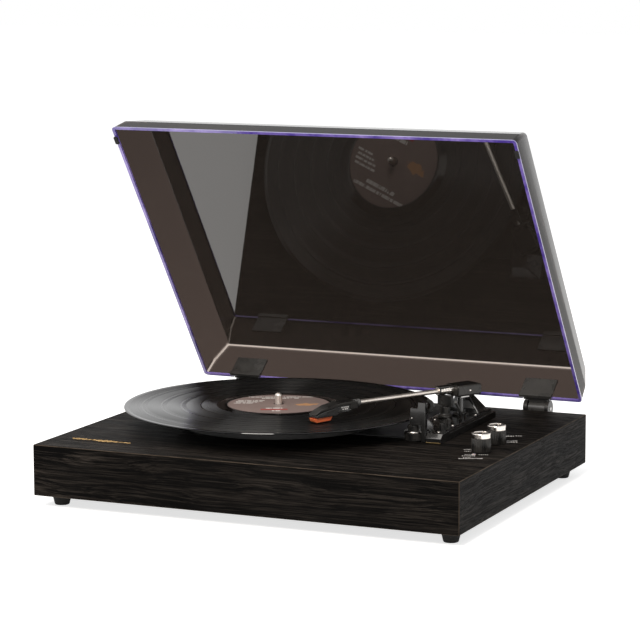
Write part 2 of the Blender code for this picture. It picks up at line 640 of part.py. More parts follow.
def make_arm_base(root, looks):
    top = PLINTH_HEIGHT
    low, high = top + GAP, top + BASE_HEIGHT
    front_left = REST_X + REST_RADIUS + 2 * GAP
    post_right = BRACKET_LEFT + SEAT_WIDTH + POST_WIDTH + GAP
    behind_rest = REST_Y + REST_RADIUS + 3 * MM
    post_back = BRACKET_BACK + 2 * GAP
    outline = [(post_right, BASE_FRONT), (BASE_RIGHT, BASE_FRONT), (BASE_RIGHT, BASE_BACK),
               (BASE_LEFT, BASE_BACK), (BASE_LEFT, behind_rest), (front_left, behind_rest),
               (front_left, post_back), (post_right, post_back)]
    body = rounded(prism(outline, low, high), 1.0 * MM, 1,
                   lambda edge: min(vert.co.z for vert in edge.verts) > high - MM / 10)
    base = piece("arm_base", body, looks["gloss_black"], root)
    hump_front = BASE_BACK - HUMP_DEPTH
    bottom = (BASE_LEFT + 2 * MM, hump_front, BASE_RIGHT - BASE_STEP_WIDTH - 1 * MM, BASE_BACK - 1.5 * MM)
    crest = (BASE_LEFT + 8 * MM, hump_front + 4 * MM, BASE_RIGHT - 18 * MM, BASE_BACK - 13 * MM)
    join(base, frustum(bottom, crest, high - 2 * MM, high + HUMP_HEIGHT))
    slope = [(BASE_FRONT - 1 * MM, high - BASE_SLOPE_DROP - 0.5 * MM),
             (BASE_FRONT + BASE_SLOPE_RUN, high + 0.5 * MM), (BASE_FRONT - 1 * MM, high + 0.5 * MM)]
    cut(base, prism(slope, BASE_LEFT, BASE_RIGHT + 1 * MM, "X"),
        box((BASE_RIGHT - BASE_STEP_WIDTH, BASE_FRONT + 3 * BASE_SLOPE_RUN, high - BASE_STEP_DROP),
            (BASE_RIGHT + 1 * MM, BASE_BACK + 1 * MM, high + HUMP_HEIGHT)))
    peg_low = high - 5 * MM + GAP
    peg = [(0, peg_low), (SWITCH_RADIUS, peg_low), (SWITCH_RADIUS, high + SWITCH_RISE - 0.5 * MM),
           (SWITCH_RADIUS - 0.5 * MM, high + SWITCH_RISE), (0, high + SWITCH_RISE)]
    side = SWITCH_RADIUS + GAP
    for name, (x, y), travel in (("speed_selector", SELECTOR_PLACE, SELECTOR_TRAVEL),
                                 ("auto_stop_switch", AUTO_STOP_PLACE, AUTO_STOP_TRAVEL)):
        front, back = y + travel[0] - side, y + travel[1] + side
        cut(base, box((x - side, front, high - 5 * MM), (x + side, back, high + 5 * MM)))
        piece(name, turned(peg, 16), looks["black_plastic"], joint(f"{name}_joint", (x, y, 0), root))
    return base


def make_pivot_and_lift(root, looks, base):
    top = PLINTH_HEIGHT
    deck = top + BASE_HEIGHT + GAP
    housing_bottom = top + ARM_HEIGHT - HOUSING_DROP
    post_top = housing_bottom - 2.6 * MM
    bore = SWING_SHAFT_RADIUS + GAP
    shaft_foot = post_top - 12 * MM
    post = [(0, deck), (8 * MM, deck), (8 * MM, deck + 1.5 * MM), (3.2 * MM, deck + 3.5 * MM),
            (2.5 * MM, post_top), (bore, post_top), (bore, shaft_foot - GAP), (0, shaft_foot - GAP)]
    piece("pivot_post", turned(post), looks["gloss_black"], root, (PIVOT_X, PIVOT_Y, 0))

    middle = (LIFT_FIRST_ANGLE + LIFT_LAST_ANGLE) / 2
    lift_x = PIVOT_X + LIFT_RADIUS * math.sin(middle)
    lift_y = PIVOT_Y - LIFT_RADIUS * math.cos(middle)
    bar_top = top + ARM_HEIGHT - COLLAR_BACK_RADIUS - GAP
    bar_low = bar_top - LIFT_BAR_HEIGHT
    cylinder_top = bar_low - 1 * MM
    stem_bore = LIFT_STEM_RADIUS + GAP
    stem_foot = deck + 2 * MM
    cylinder = [(0, deck), (7 * MM, deck), (7 * MM, deck + 2 * MM), (5 * MM, deck + 4 * MM),
                (5 * MM, cylinder_top), (stem_bore, cylinder_top), (stem_bore, stem_foot - GAP),
                (0, stem_foot - GAP)]
    piece("lift_cylinder", turned(cylinder), looks["black_plastic"], root, (lift_x, lift_y, 0))
    lift = joint("lift_joint", (PIVOT_X, PIVOT_Y, 0), root)
    first, last = LIFT_FIRST_ANGLE - math.pi / 2, LIFT_LAST_ANGLE - math.pi / 2
    inner = arc(LIFT_RADIUS - LIFT_BAR_WIDTH / 2, first, last, 14)
    outer = arc(LIFT_RADIUS + LIFT_BAR_WIDTH / 2, first, last, 14)
    bar = piece("lift_bar", prism(inner + outer[::-1], bar_low, bar_top), looks["black_plastic"], lift)
    join(bar, moved(rod(LIFT_STEM_RADIUS, stem_foot, bar_low + 2 * MM),
                    lift_x - PIVOT_X, lift_y - PIVOT_Y))

    axle = deck + 3 * MM
    join(base, box((LEVER_X - 3.5 * MM, LEVER_Y - 4 * MM, top + 2 * MM),
                   (LEVER_X + 3.5 * MM, LEVER_Y + 4 * MM, axle + 3 * MM)))
    cut(base, box((LEVER_X - 1.5 * MM, LEVER_Y - 6 * MM, deck),
                  (LEVER_X + 1.5 * MM, LEVER_Y + 6 * MM, axle + 6 * MM)),
        moved(rod(1 * MM + GAP, LEVER_X - 6 * MM, LEVER_X + 6 * MM, 12, "X"), 0, LEVER_Y, axle))
    turn = joint("cue_lever_joint", (LEVER_X, LEVER_Y, axle), root, (LEVER_LEAN, 0, 0))
    blade = rounded(box((-1 * MM, -1 * MM, -1.6 * MM), (1 * MM, 1 * MM, LEVER_LENGTH)), 0.4 * MM, 1)
    lever = piece("cue_lever", blade, looks["grey_plastic"], turn)
    join(lever, rod(1 * MM, -3.2 * MM, 3.2 * MM, 12, "X"),
         moved(box((-1.3 * MM, -1.4 * MM, -2 * MM), (1.3 * MM, 1.4 * MM, 2 * MM)), 0, 0, LEVER_LENGTH))


def make_arm_rest(root, looks):
    top = PLINTH_HEIGHT
    drum_top = top + REST_HEIGHT
    ring_inner = REST_RADIUS - 1.6 * MM
    ring_low = drum_top - 1.4 * MM
    disc_top = drum_top + REST_DISC_HEIGHT
    drum = [(0, top + GAP), (REST_RADIUS - 1 * MM, top + GAP), (REST_RADIUS, top + 1.5 * MM),
            (REST_RADIUS, ring_low - GAP), (ring_inner - GAP, ring_low - GAP), (ring_inner - GAP, drum_top),
            (REST_DISC_RADIUS, drum_top), (REST_DISC_RADIUS, disc_top - 0.8 * MM),
            (REST_DISC_RADIUS - 0.8 * MM, disc_top), (0, disc_top)]
    piece("rest_drum", turned(drum, 28), looks["gloss_black"], root, (REST_X, REST_Y, 0))
    ring = [(ring_inner, ring_low), (REST_RADIUS, ring_low), (REST_RADIUS, drum_top - 0.6 * MM),
            (REST_RADIUS - 0.6 * MM, drum_top), (ring_inner, drum_top)]
    piece("rest_ring", turned(ring, 28), looks["chrome"], root, (REST_X, REST_Y, 0))
    seat_right = BRACKET_LEFT + SEAT_WIDTH
    right = seat_right + POST_WIDTH
    leg_left = REST_X + REST_RADIUS + 2 * GAP
    seat = top + ARM_HEIGHT - TUBE_RADIUS - 1.5 * GAP
    bracket_low = disc_top + GAP
    outline = [(BRACKET_LEFT, bracket_low), (leg_left, bracket_low), (leg_left, top + 2 * GAP),
               (right, top + 2 * GAP), (right, top + POST_HEIGHT), (seat_right, top + POST_HEIGHT),
               (seat_right, seat), (BRACKET_LEFT, seat)]
    bracket = piece("rest_bracket", prism(outline, BRACKET_FRONT, BRACKET_BACK, "Y"),
                    looks["gloss_black"], root)
    pin_x = seat_right + 1.5 * MM
    pin_z = top + ARM_HEIGHT - CLIP_PIVOT_DROP
    join(bracket, moved(rod(1 * MM, BRACKET_BACK - 2 * MM, BRACKET_BACK + CLIP_THICKNESS + 1 * MM, 12, "Y"),
                        pin_x, 0, pin_z))

    turn = joint("rest_clip_joint", (pin_x, BRACKET_BACK, pin_z), root, (0, CLIP_OPEN, 0))
    tube_x, tube_z = parked_tube_x() - pin_x, CLIP_PIVOT_DROP
    inner = TUBE_RADIUS + 0.7 * MM
    outer = inner + CLIP_WIDTH
    over, under = math.radians(150), math.radians(-25)
    hook = arc(outer, under, over, 12) + arc(inner, over, under, 12)
    boss = arc(2.6 * MM, math.radians(150), math.radians(390), 12)
    low, high = GAP, GAP + CLIP_THICKNESS
    clip = piece("rest_clip", prism(boss + [(tube_x + a, tube_z + b) for a, b in hook], low, high, "Y"),
                 looks["black_plastic"], turn)
    cut(clip, rod(1 * MM + GAP, low - 1 * MM, high + 1 * MM, 12, "Y"))


def parked_tube_x():
    """Where the parked tube's axis crosses the middle of the bracket."""
    return BRACKET_LEFT + SEAT_WIDTH - TUBE_RADIUS - 1.5 * GAP


def make_arm(root, looks):
    height = PLINTH_HEIGHT + ARM_HEIGHT
    swing = joint("arm_swing_joint", (PIVOT_X, PIVOT_Y, height), root, (0, 0, ARM_YAW))
    tilt = joint("arm_tilt_joint", (0, PIN_BEHIND, -PIN_DROP), swing)
    arm = joint("arm_line", (0, 0, PIN_DROP), tilt)
    half_length, half_width = HOUSING_LENGTH / 2, HOUSING_WIDTH / 2
    yoke_low = -HOUSING_DROP - 2.3 * MM
    yoke_back = PIN_BEHIND + 3 * MM
    yoke = piece("swing_yoke",
                 box((-5.5 * MM, -3.5 * MM, yoke_low), (5.5 * MM, yoke_back, -PIN_DROP + 2.2 * MM)),
                 looks["steel"], swing)
    pin_reach = half_width + GAP
    pin_hole = TILT_PIN_RADIUS + GAP
    cut(yoke, box((-3.5 * MM, -7 * MM, yoke_low + 2.5 * MM), (3.5 * MM, yoke_back + 1 * MM, 7 * MM)),
        moved(rod(pin_hole, -9 * MM, 9 * MM, 12, "X"), 0, PIN_BEHIND, -PIN_DROP))
    join(yoke, rod(SWING_SHAFT_RADIUS, yoke_low - 12 * MM, yoke_low + 1 * MM, 16))
    piece("tilt_pin", moved(rod(TILT_PIN_RADIUS, -pin_reach, pin_reach, 12, "X"), 0, PIN_BEHIND, -PIN_DROP),
          looks["steel"], swing)

    shell = rounded(box((-half_width, -half_length, -HOUSING_DROP), (half_width, half_length, HOUSING_RISE)),
                    2 * MM, 2, lambda edge: edge.calc_length() > 2 * MM)
    housing = piece("arm_housing", shell, looks["black_plastic"], arm)
    collar_back = -half_length - GAP
    collar_front = collar_back - COLLAR_LENGTH
    hood = [(1 * MM - half_length, 0), (1 * MM - half_length, HOUSING_RISE - 0.3 * MM),
            (-half_length - 3 * MM, HOOD_RISE - 0.9 * MM), (collar_front, COLLAR_FRONT_RADIUS + 1 * MM),
            (collar_front, 0)]
    join(housing, prism(hood, -HOOD_WIDTH / 2, HOOD_WIDTH / 2, "X"))
    over_collar = [(0, collar_front - 1 * MM), (COLLAR_FRONT_RADIUS + GAP, collar_front - 1 * MM),
                   (COLLAR_FRONT_RADIUS + GAP, collar_front), (COLLAR_BACK_RADIUS + GAP, -half_length),
                   (0, -half_length)]
    cut(housing, turned(over_collar, 24, "Y"),
        box((-half_width + HOUSING_SHELL, -half_length + HOUSING_SHELL, -HOUSING_DROP - 5 * MM),
            (half_width - HOUSING_SHELL, half_length - HOUSING_SHELL, HOUSING_RISE - 2.4 * MM)),
        moved(rod(pin_hole, -2 * half_width, 2 * half_width, 12, "X"), 0, 0, -PIN_DROP),
        rod(TUBE_RADIUS + GAP, -2 * half_length, -half_length / 2, 16, "Y"))
    tube_back = -half_length + HOUSING_SHELL - 1 * MM
    piece("arm_tube", rod(TUBE_RADIUS, -HEADSHELL_BACK + 1 * MM, tube_back, 24, "Y"), looks["chrome"], arm)
    bore = TUBE_RADIUS + GAP
    collar = [(bore, collar_front), (COLLAR_FRONT_RADIUS, collar_front), (COLLAR_BACK_RADIUS, collar_back),
              (bore, collar_back)]
    piece("arm_collar", turned(collar, 24, "Y"), looks["chrome"], arm)
    sleeve = -HEADSHELL_BACK + GAP
    piece("headshell_joint", tube(TUBE_RADIUS + 1.1 * MM, bore, sleeve, sleeve + 6 * MM, 20, "Y"),
          looks["grey_plastic"], arm)
    make_head(arm, looks)


def make_head(arm, looks):
    """Headshell, cartridge and stylus, drawn from the side as (distance from the pin, height)."""
    def side(points):
        return [(-distance * MM, height * MM) for distance, height in points]

    back, tip = HEADSHELL_BACK / MM, HEADSHELL_TIP / MM
    contact = ARM_LENGTH / MM
    record = (RECORD_TOP - ARM_HEIGHT) / MM
    shell = [(back, -4.2), (back, 2.4), (back + 5, 3.4), (back + 21, 2.8), (tip - 6.5, -1.7), (tip, -5.4),
             (tip - 0.5, -6.4), (tip - 7, -3.9), (back + 21, 0.3), (back + 9, 0.3), (back + 9, -4.2)]
    body = rounded(prism(side(shell), -HEADSHELL_WIDTH / 2, HEADSHELL_WIDTH / 2, "X"), 0.5 * MM, 1)
    piece("headshell", body, looks["black_plastic"], arm)
    cartridge = [(back + 9.5, -6.2), (back + 9.5, -0.1), (back + 21, -0.1), (tip - 7.2, -4.3),
                 (tip - 1.2, -6.8), (tip - 1.6, -8.8), (back + 24, -8.4), (back + 22, -6.2)]
    body = rounded(prism(side(cartridge), -CARTRIDGE_WIDTH / 2, CARTRIDGE_WIDTH / 2, "X"), 0.3 * MM, 1)
    piece("cartridge", body, looks["gloss_black"], arm)
    holder = [(contact - 19, -8.9), (contact + 2.5, -9.3), (contact, record + 1.2),
              (contact - 16, record + 1.8)]
    body = rounded(prism(side(holder), -STYLUS_HOLDER_WIDTH / 2, STYLUS_HOLDER_WIDTH / 2, "X"), 0.3 * MM, 1)
    stylus = piece("stylus", body, looks["orange"], arm)
    needle = [(0, record * MM), (0.35 * MM, (record + 0.5) * MM), (0.35 * MM, (record + 3) * MM),
              (0, (record + 3) * MM)]
    join(stylus, moved(turned(needle, 10), 0, -ARM_LENGTH + 2 * MM, GAP / 3))


def lid_section(bm, side, front, height):
    """One horizontal ring of the cover, drawn in from the rim's size. The back is upright."""
    half = LID_WIDTH / 2 - side
    rear = -LID_BACK_MARGIN - HINGE_BEHIND
    fore = -LID_BACK_MARGIN - HINGE_BEHIND - LID_DEPTH + front
    z = LID_LIFT - HINGE_ABOVE + height
    return [bm.verts.new(p) for p in ((-half, fore, z), (half, fore, z), (half, rear, z), (-half, rear, z))]


def make_cover(root, looks):
    place = (0, PLINTH_DEPTH / 2 + HINGE_BEHIND, PLINTH_HEIGHT + HINGE_ABOVE)
    turn = joint("cover_joint", place, root, (-LID_OPEN, 0, 0))
    bm = bmesh.new()
    rings = [lid_section(bm, 0, 0, 0), lid_section(bm, *LID_CREASE_INSETS, LID_CREASE),
             lid_section(bm, *LID_TOP_INSETS, LID_HEIGHT)]
    for first, second in zip(rings, rings[1:]):
        for i in range(4):
            j = (i + 1) % 4
            bm.faces.new((first[i], first[j], second[j], second[i]))
    bm.faces.new(rings[-1])
    crease = LID_LIFT - HINGE_ABOVE + LID_CREASE

    def is_corner(edge):
        heights = [vert.co.z for vert in edge.verts]
        return max(heights) - min(heights) > MM or min(heights) > crease + MM

    rounded(bm, LID_EDGE_RADIUS, 2, is_corner)
    cover = piece("dust_cover", bm, looks["smoked_acrylic"], turn)
    wall = cover.modifiers.new("wall", "SOLIDIFY")
    wall.thickness = LID_WALL
    wall.offset = -1
    wall.use_even_offset = True
    rim = LID_LIFT - HINGE_ABOVE
    wall_out = -LID_BACK_MARGIN - HINGE_BEHIND
    wall_in = wall_out - LID_WALL
    below = LID_WIDTH + LID_DEPTH
    cut(cover, box((-below, -below, -below), (below, below, rim)))
    arm_low = rim + 0.5 * MM
    arm_half = HINGE_PLATE_WIDTH / 2 - 3.5 * MM
    arm_high = rim + 5.5 * MM
    for name, side in (("left", -1), ("right", 1)):
        x = side * HINGE_X
        cut(cover, box((x - arm_half - 2 * GAP, wall_in - 1 * MM, rim - 1 * MM),
                       (x + arm_half + 2 * GAP, wall_out + 1 * MM, arm_high + 2 * GAP)))
        face = wall_in - GAP
        inside = face - HINGE_LEAF_THICKNESS
        half = HINGE_PLATE_WIDTH / 2
        foot = rim - HINGE_LIP_DROP
        plate = box((x - half, inside, foot), (x + half, face, rim + HINGE_LEAF_HEIGHT))
        leaf = piece(f"hinge_leaf_{name}", rounded(plate, 0.8 * MM, 1), looks["black_plastic"], turn)
        narrow = -EAR_RADIUS - 1 * MM
        join(leaf, box((x - half, inside - 1.2 * MM, foot), (x + half, face - 1 * MM, rim + 3 * MM)),
             box((x - arm_half, inside + 1 * MM, arm_low), (x + arm_half, narrow, arm_high)),
             box((x - KNUCKLE_WIDTH / 2, narrow - 2 * MM, arm_low), (x + KNUCKLE_WIDTH / 2, 0, arm_high)),
             moved(rod(KNUCKLE_RADIUS, -KNUCKLE_WIDTH / 2, KNUCKLE_WIDTH / 2, 24, "X"), x))
        cut(leaf, moved(rod(HINGE_PIN_RADIUS + GAP, -KNUCKLE_WIDTH, KNUCKLE_WIDTH, 16, "X"), x))
        pad_y = wall_out - LID_DEPTH + BUMPER_INSET
        pad_x = side * (LID_WIDTH / 2 - LID_WALL / 2)
        pad = box((pad_x - BUMPER_WIDTH / 2, pad_y, -HINGE_ABOVE + GAP),
                  (pad_x + BUMPER_WIDTH / 2, pad_y + BUMPER_LENGTH, rim - GAP))
        piece(f"cover_bumper_{name}", pad, looks["rubber"], turn)


def make_hinge_sockets(root, looks):
    back, top = PLINTH_DEPTH / 2, PLINTH_HEIGHT
    axis_y, axis_z = back + HINGE_BEHIND, top + HINGE_ABOVE
    ear_inner = KNUCKLE_WIDTH / 2 + GAP
    half = HINGE_PLATE_WIDTH / 2
    for name, side in (("left", -1), ("right", 1)):
        x = side * HINGE_X
        plate = box((x - half, back + GAP, top - 34 * MM),
                    (x + half, axis_y - KNUCKLE_RADIUS - GAP, top - 1 * MM))
        socket = piece(f"hinge_socket_{name}", rounded(plate, 0.8 * MM, 1), looks["black_plastic"], root)
        for ear_side in (-1, 1):
            inner, outer = sorted((x + ear_side * ear_inner, x + ear_side * (ear_inner + EAR_THICKNESS)))
            join(socket,
                 box((inner, back + GAP + 1 * MM, axis_z - EAR_RADIUS * 1.6), (outer, axis_y, axis_z)),
                 moved(rod(EAR_RADIUS, inner, outer, 28, "X"), 0, axis_y, axis_z))
        bore = rod(HINGE_PIN_RADIUS + GAP, x - half * 2, x + half * 2, 16, "X")
        cut(socket, moved(bore, 0, axis_y, axis_z))
        reach = ear_inner + EAR_THICKNESS + 0.5 * MM
        pin = rod(HINGE_PIN_RADIUS, x - reach, x + reach, 16, "X")
        piece(f"hinge_pin_{name}", moved(pin, 0, axis_y, axis_z), looks["steel"], root)


def stand_on_origin(root):
    """Moves the machine so that its box stands centred on the origin, to a tenth of a millimetre."""
    bpy.context.view_layer.update()
    graph = bpy.context.evaluated_depsgraph_get()
    corners = []
    for obj in bpy.context.scene.objects:
        if obj.type == "MESH" and not obj.hide_render:
            shown = obj.evaluated_get(graph)
            corners += [shown.matrix_world @ Vector(corner) for corner in shown.bound_box]
    middle = [(min(c[i] for c in corners) + max(c[i] for c in corners)) / 2 for i in range(2)]
    root.location = (-round(middle[0], 4), -round(middle[1], 4), -min(c[2] for c in corners))


def main():
    for obj in list(bpy.data.objects):
        bpy.data.objects.remove(obj)
    looks = make_finishes()
    root = joint("machine", (0, 0, 0), None)
    make_plinth(root, looks)
    make_ornament(root, looks)
    make_drive(root, looks)
    make_platter(root, looks)
    make_controls(root, looks)
    make_connections(root, looks)
    base = make_arm_base(root, looks)
    make_pivot_and_lift(root, looks, base)
    make_arm_rest(root, looks)
    make_arm(root, looks)
    make_cover(root, looks)
    make_hinge_sockets(root, looks)
    stand_on_origin(root)


main()
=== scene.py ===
import json
import math
import random

import bmesh
import bpy
from mathutils import Matrix, Vector


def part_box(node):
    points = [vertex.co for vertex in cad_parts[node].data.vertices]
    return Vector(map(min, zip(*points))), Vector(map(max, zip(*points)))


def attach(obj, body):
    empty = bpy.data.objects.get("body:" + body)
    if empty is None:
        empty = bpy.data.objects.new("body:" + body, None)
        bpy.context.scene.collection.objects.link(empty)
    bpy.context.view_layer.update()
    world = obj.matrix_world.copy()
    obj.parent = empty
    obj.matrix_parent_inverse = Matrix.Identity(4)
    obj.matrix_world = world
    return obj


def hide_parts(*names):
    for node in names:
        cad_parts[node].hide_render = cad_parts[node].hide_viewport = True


# The looks of a belt-driven record player: black ash-foil plinth, vinyl record with a paper label,
# straight chromed tonearm on a moulded base, two ribbed knobs, and a smoked cover standing open.
# Lengths are metres. The maker's frame lies in the middle of the plinth's underside, with X to the
# right, Y to the back and Z up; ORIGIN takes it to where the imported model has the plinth.

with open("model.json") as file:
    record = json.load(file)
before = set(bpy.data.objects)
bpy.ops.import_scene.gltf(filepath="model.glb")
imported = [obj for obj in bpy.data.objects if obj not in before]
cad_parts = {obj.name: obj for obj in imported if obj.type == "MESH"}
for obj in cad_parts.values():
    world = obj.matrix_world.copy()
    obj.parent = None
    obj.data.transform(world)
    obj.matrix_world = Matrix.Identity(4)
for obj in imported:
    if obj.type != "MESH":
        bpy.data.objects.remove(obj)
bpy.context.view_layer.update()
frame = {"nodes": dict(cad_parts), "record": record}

MM = 0.001
GAP = 0.3 * MM

case_low, case_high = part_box("plinth")
CASE = case_high - case_low
ORIGIN = Matrix.Translation(((case_low.x + case_high.x) / 2, (case_low.y + case_high.y) / 2, case_low.z))
TOP = CASE.z
BACK = CASE.y / 2


def middle_of(node):
    """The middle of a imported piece, in the maker's frame."""
    low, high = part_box(node)
    return ORIGIN.inverted() @ ((low + high) / 2)


def span_of(node):
    """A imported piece's lowest and highest corner, in the maker's frame."""
    low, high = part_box(node)
    return ORIGIN.inverted() @ low, ORIGIN.inverted() @ high


SPINDLE = middle_of("platter")
RECORD_LOW, RECORD_HIGH = span_of("record")
RECORD_RADIUS = (RECORD_HIGH.x - RECORD_LOW.x) / 2
RECORD_TOP = RECORD_HIGH.z
LABEL_RADIUS = (span_of("record_label")[1].x - span_of("record_label")[0].x) / 2

# Tonearm: its own frame has the tube's axis along -Y, counted from the tilt pin.
PIVOT = middle_of("pivot_post")
ARM_AXIS = TOP + 35.5 * MM
ARM_YAW = math.radians(-29.1)
PIN_BEHIND = 4 * MM
PIN_DROP = 1.2 * MM
SWING = Matrix.Translation((PIVOT.x, PIVOT.y, ARM_AXIS)) @ Matrix.Rotation(ARM_YAW, 4, "Z")
ARM = SWING @ Matrix.Translation((0, PIN_BEHIND, 0))
TUBE_RADIUS = 2.4 * MM
HEADSHELL_BACK = 135.0
HEADSHELL_TIP = 184.5
STYLUS_REACH = 182.0

# Cover: drawn shut about the hinge pins' line, then turned open.
HINGE_LINE = middle_of("hinge_pin_left")
HINGE_X = middle_of("hinge_pin_right").x
LID_OPEN = math.radians(54.1)
LID = Matrix.Translation((0, HINGE_LINE.y, HINGE_LINE.z)) @ Matrix.Rotation(-LID_OPEN, 4, "X")
LID_WIDTH = 419 * MM
LID_DEPTH = 342 * MM
LID_HEIGHT = 47 * MM
LID_WALL = 2.8 * MM
LID_CREASE = 20 * MM
LID_RIM = 1.5 * MM  # above the hinge line
LID_REAR = -11 * MM
BASE_TOP = TOP + 9 * MM

# Shared by neighbouring pieces: the lever's axle on the base, the rest post, and the hinge leaves.
LEVER_Y = 62 * MM
LEVER_AXLE = BASE_TOP + GAP + 3 * MM
REST_LEFT = 107.6 * MM
REST_FRONT = -26 * MM
REST_BACK = -20 * MM
REST_DRUM_RADIUS = 9.6 * MM
LEAF_HALF = 17.25 * MM
LEAF_ARM_HALF = LEAF_HALF - 3.5 * MM


# Shapes ------------------------------------------------------------------------------------------

def block(low, high, edge=0.0, segments=3, pick=None):
    """A box between two corners, with its picked edges rounded."""
    low, high = Vector(low), Vector(high)
    bm = bmesh.new()
    bmesh.ops.create_cube(bm, size=1)
    bmesh.ops.scale(bm, vec=high - low, verts=bm.verts)
    bmesh.ops.translate(bm, vec=(low + high) / 2, verts=bm.verts)
    return rounded(bm, edge, segments, pick) if edge else bm


def rounded(bm, radius, segments=3, pick=None):
    """Rounds the picked edges, or every edge where two faces meet at an angle."""
    edges = [e for e in bm.edges if (pick(e) if pick else e.calc_face_angle(0) > math.radians(25))]
    bmesh.ops.bevel(bm, geom=edges, offset=radius, segments=segments, profile=0.5, affect="EDGES",
                    clamp_overlap=True, material=-1)
    return bm


def turned(profile, sides=96, axis="Z", soft=0.0, at=(0, 0, 0)):
    """A turned piece: (radius, height) points spun about an axis, their corners rounded by soft."""
    bm = bmesh.new()
    points = [bm.verts.new((radius, 0, height)) for radius, height in profile]
    edges = [bm.edges.new(pair) for pair in zip(points, points[1:])]
    if profile[0][0] > 0 or profile[-1][0] > 0:
        edges.append(bm.edges.new((points[-1], points[0])))
    if soft:
        corners = [point for point in points if point.co.x > soft and len(point.link_edges) == 2]
        bmesh.ops.bevel(bm, geom=corners, offset=soft, segments=3, profile=0.5, affect="VERTICES",
                        clamp_overlap=True, material=-1)
    bmesh.ops.spin(bm, geom=bm.verts[:] + bm.edges[:], cent=(0, 0, 0), axis=(0, 0, 1), angle=math.tau,
                   steps=sides, use_merge=True)
    bmesh.ops.remove_doubles(bm, verts=bm.verts, dist=1e-7)
    quarter = {"X": (math.pi / 2, "Y"), "Y": (-math.pi / 2, "X")}
    if axis in quarter:
        bmesh.ops.rotate(bm, verts=bm.verts, matrix=Matrix.Rotation(quarter[axis][0], 3, quarter[axis][1]))
    bmesh.ops.translate(bm, vec=at, verts=bm.verts)
    return bm


def rod(radius, low, high, sides=48, axis="Z", soft=0.0, at=(0, 0, 0)):
    return turned([(0, low), (radius, low), (radius, high), (0, high)], sides, axis, soft, at)


def pulled(outline, low, high, axis="Z", edge=0.0, segments=2):
    """An outline pulled from low to high: (x, y) points, (y, z) along X, or (x, z) along Y."""
    places = {"Z": lambda a, b: (a, b, low), "X": lambda a, b: (low, a, b), "Y": lambda a, b: (a, low, b)}
    along = {"Z": (0, 0, 1), "X": (1, 0, 0), "Y": (0, 1, 0)}[axis]
    bm = bmesh.new()
    face = bm.faces.new([bm.verts.new(places[axis](a, b)) for a, b in outline])
    grown = bmesh.ops.extrude_face_region(bm, geom=[face])
    verts = [item for item in grown["geom"] if isinstance(item, bmesh.types.BMVert)]
    bmesh.ops.translate(bm, vec=Vector(along) * (high - low), verts=verts)
    bmesh.ops.recalc_face_normals(bm, faces=bm.faces)
    return rounded(bm, edge, segments) if edge else bm


def arc(radius, first, last, steps, middle=(0, 0)):
    """Points on an arc, angles counted from +X."""
    angles = [first + (last - first) * i / steps for i in range(steps + 1)]
    return [(middle[0] + radius * math.cos(a), middle[1] + radius * math.sin(a)) for a in angles]


def moved(bm, x=0.0, y=0.0, z=0.0):
    bmesh.ops.translate(bm, vec=(x, y, z), verts=bm.verts)
    return bm


def stacked(*shapes):
    """Several closed shapes as one mesh."""
    whole = bmesh.new()
    for bm in shapes:
        part = as_mesh(bm, "part")
        whole.from_mesh(part)
        bpy.data.meshes.remove(part)
    return whole


def as_mesh(bm, name):
    bmesh.ops.recalc_face_normals(bm, faces=bm.faces)
    mesh = bpy.data.meshes.new(name)
    bm.to_mesh(mesh)
    bm.free()
    return mesh


def combined(body, operation, *tools):
    """The body with the tools joined on or cut out."""
    for tool in tools:
        pair = [bpy.data.objects.new("work", as_mesh(bm, "work")) for bm in (body, tool)]
        for obj in pair:
            bpy.context.scene.collection.objects.link(obj)
        step = pair[0].modifiers.new("work", "BOOLEAN")
        step.operation = operation
        step.solver = "EXACT"
        step.object = pair[1]
        shown = pair[0].evaluated_get(bpy.context.evaluated_depsgraph_get())
        body = bmesh.new()
        body.from_mesh(shown.to_mesh())
        shown.to_mesh_clear()
        for obj in pair:
            mesh = obj.data
            bpy.data.objects.remove(obj)
            bpy.data.meshes.remove(mesh)
    return body


def cut(body, *tools):
    return combined(body, "DIFFERENCE", *tools)


def joined(body, *tools):
    return combined(body, "UNION", *tools)


def eased(bm, width, segments=2):
    """Breaks the hard edges of a shape that was cut or joined."""
    bmesh.ops.remove_doubles(bm, verts=bm.verts, dist=2e-6)
    bmesh.ops.dissolve_limit(bm, angle_limit=math.radians(1), verts=bm.verts, edges=bm.edges)
    return rounded(bm, width, segments)


# Nodes -------------------------------------------------------------------------------------------

def put(tree, kind, inputs=None, **settings):
    """Adds a shader node. An input is a value, or another node's socket to link."""
    node = tree.nodes.new("ShaderNode" + kind)
    for name, value in settings.items():
        setattr(node, name, value)
    for name, value in (inputs or {}).items():
        if isinstance(value, bpy.types.NodeSocket):
            tree.links.new(value, node.inputs[name])
        else:
            node.inputs[name].default_value = value
    return node


def sums(tree, operation, first, second=0.0, third=None, clamp=False):
    """A Math node's output."""
    inputs = {0: first, 1: second}
    if third is not None:
        inputs[2] = third
    return put(tree, "Math", inputs, operation=operation, use_clamp=clamp).outputs[0]


def spread(tree, value, low, high, to_low=0.0, to_high=1.0):
    """Maps a value's range onto another and holds it there."""
    inputs = {"Value": value, "From Min": low, "From Max": high, "To Min": to_low, "To Max": to_high}
    return put(tree, "MapRange", inputs).outputs[0]


def blend(tree, mask, first, second):
    """Mixes two colours by a mask."""
    node = put(tree, "Mix", data_type="RGBA")
    for socket, value in ((node.inputs[0], mask), (node.inputs[6], first), (node.inputs[7], second)):
        if isinstance(value, bpy.types.NodeSocket):
            tree.links.new(value, socket)
        else:
            socket.default_value = value
    return node.outputs[2]


def noise(tree, vector, scale, detail=2.0, roughness=0.5):
    inputs = {"Vector": vector, "Scale": scale, "Detail": detail, "Roughness": roughness}
    return put(tree, "TexNoise", inputs).outputs[0]


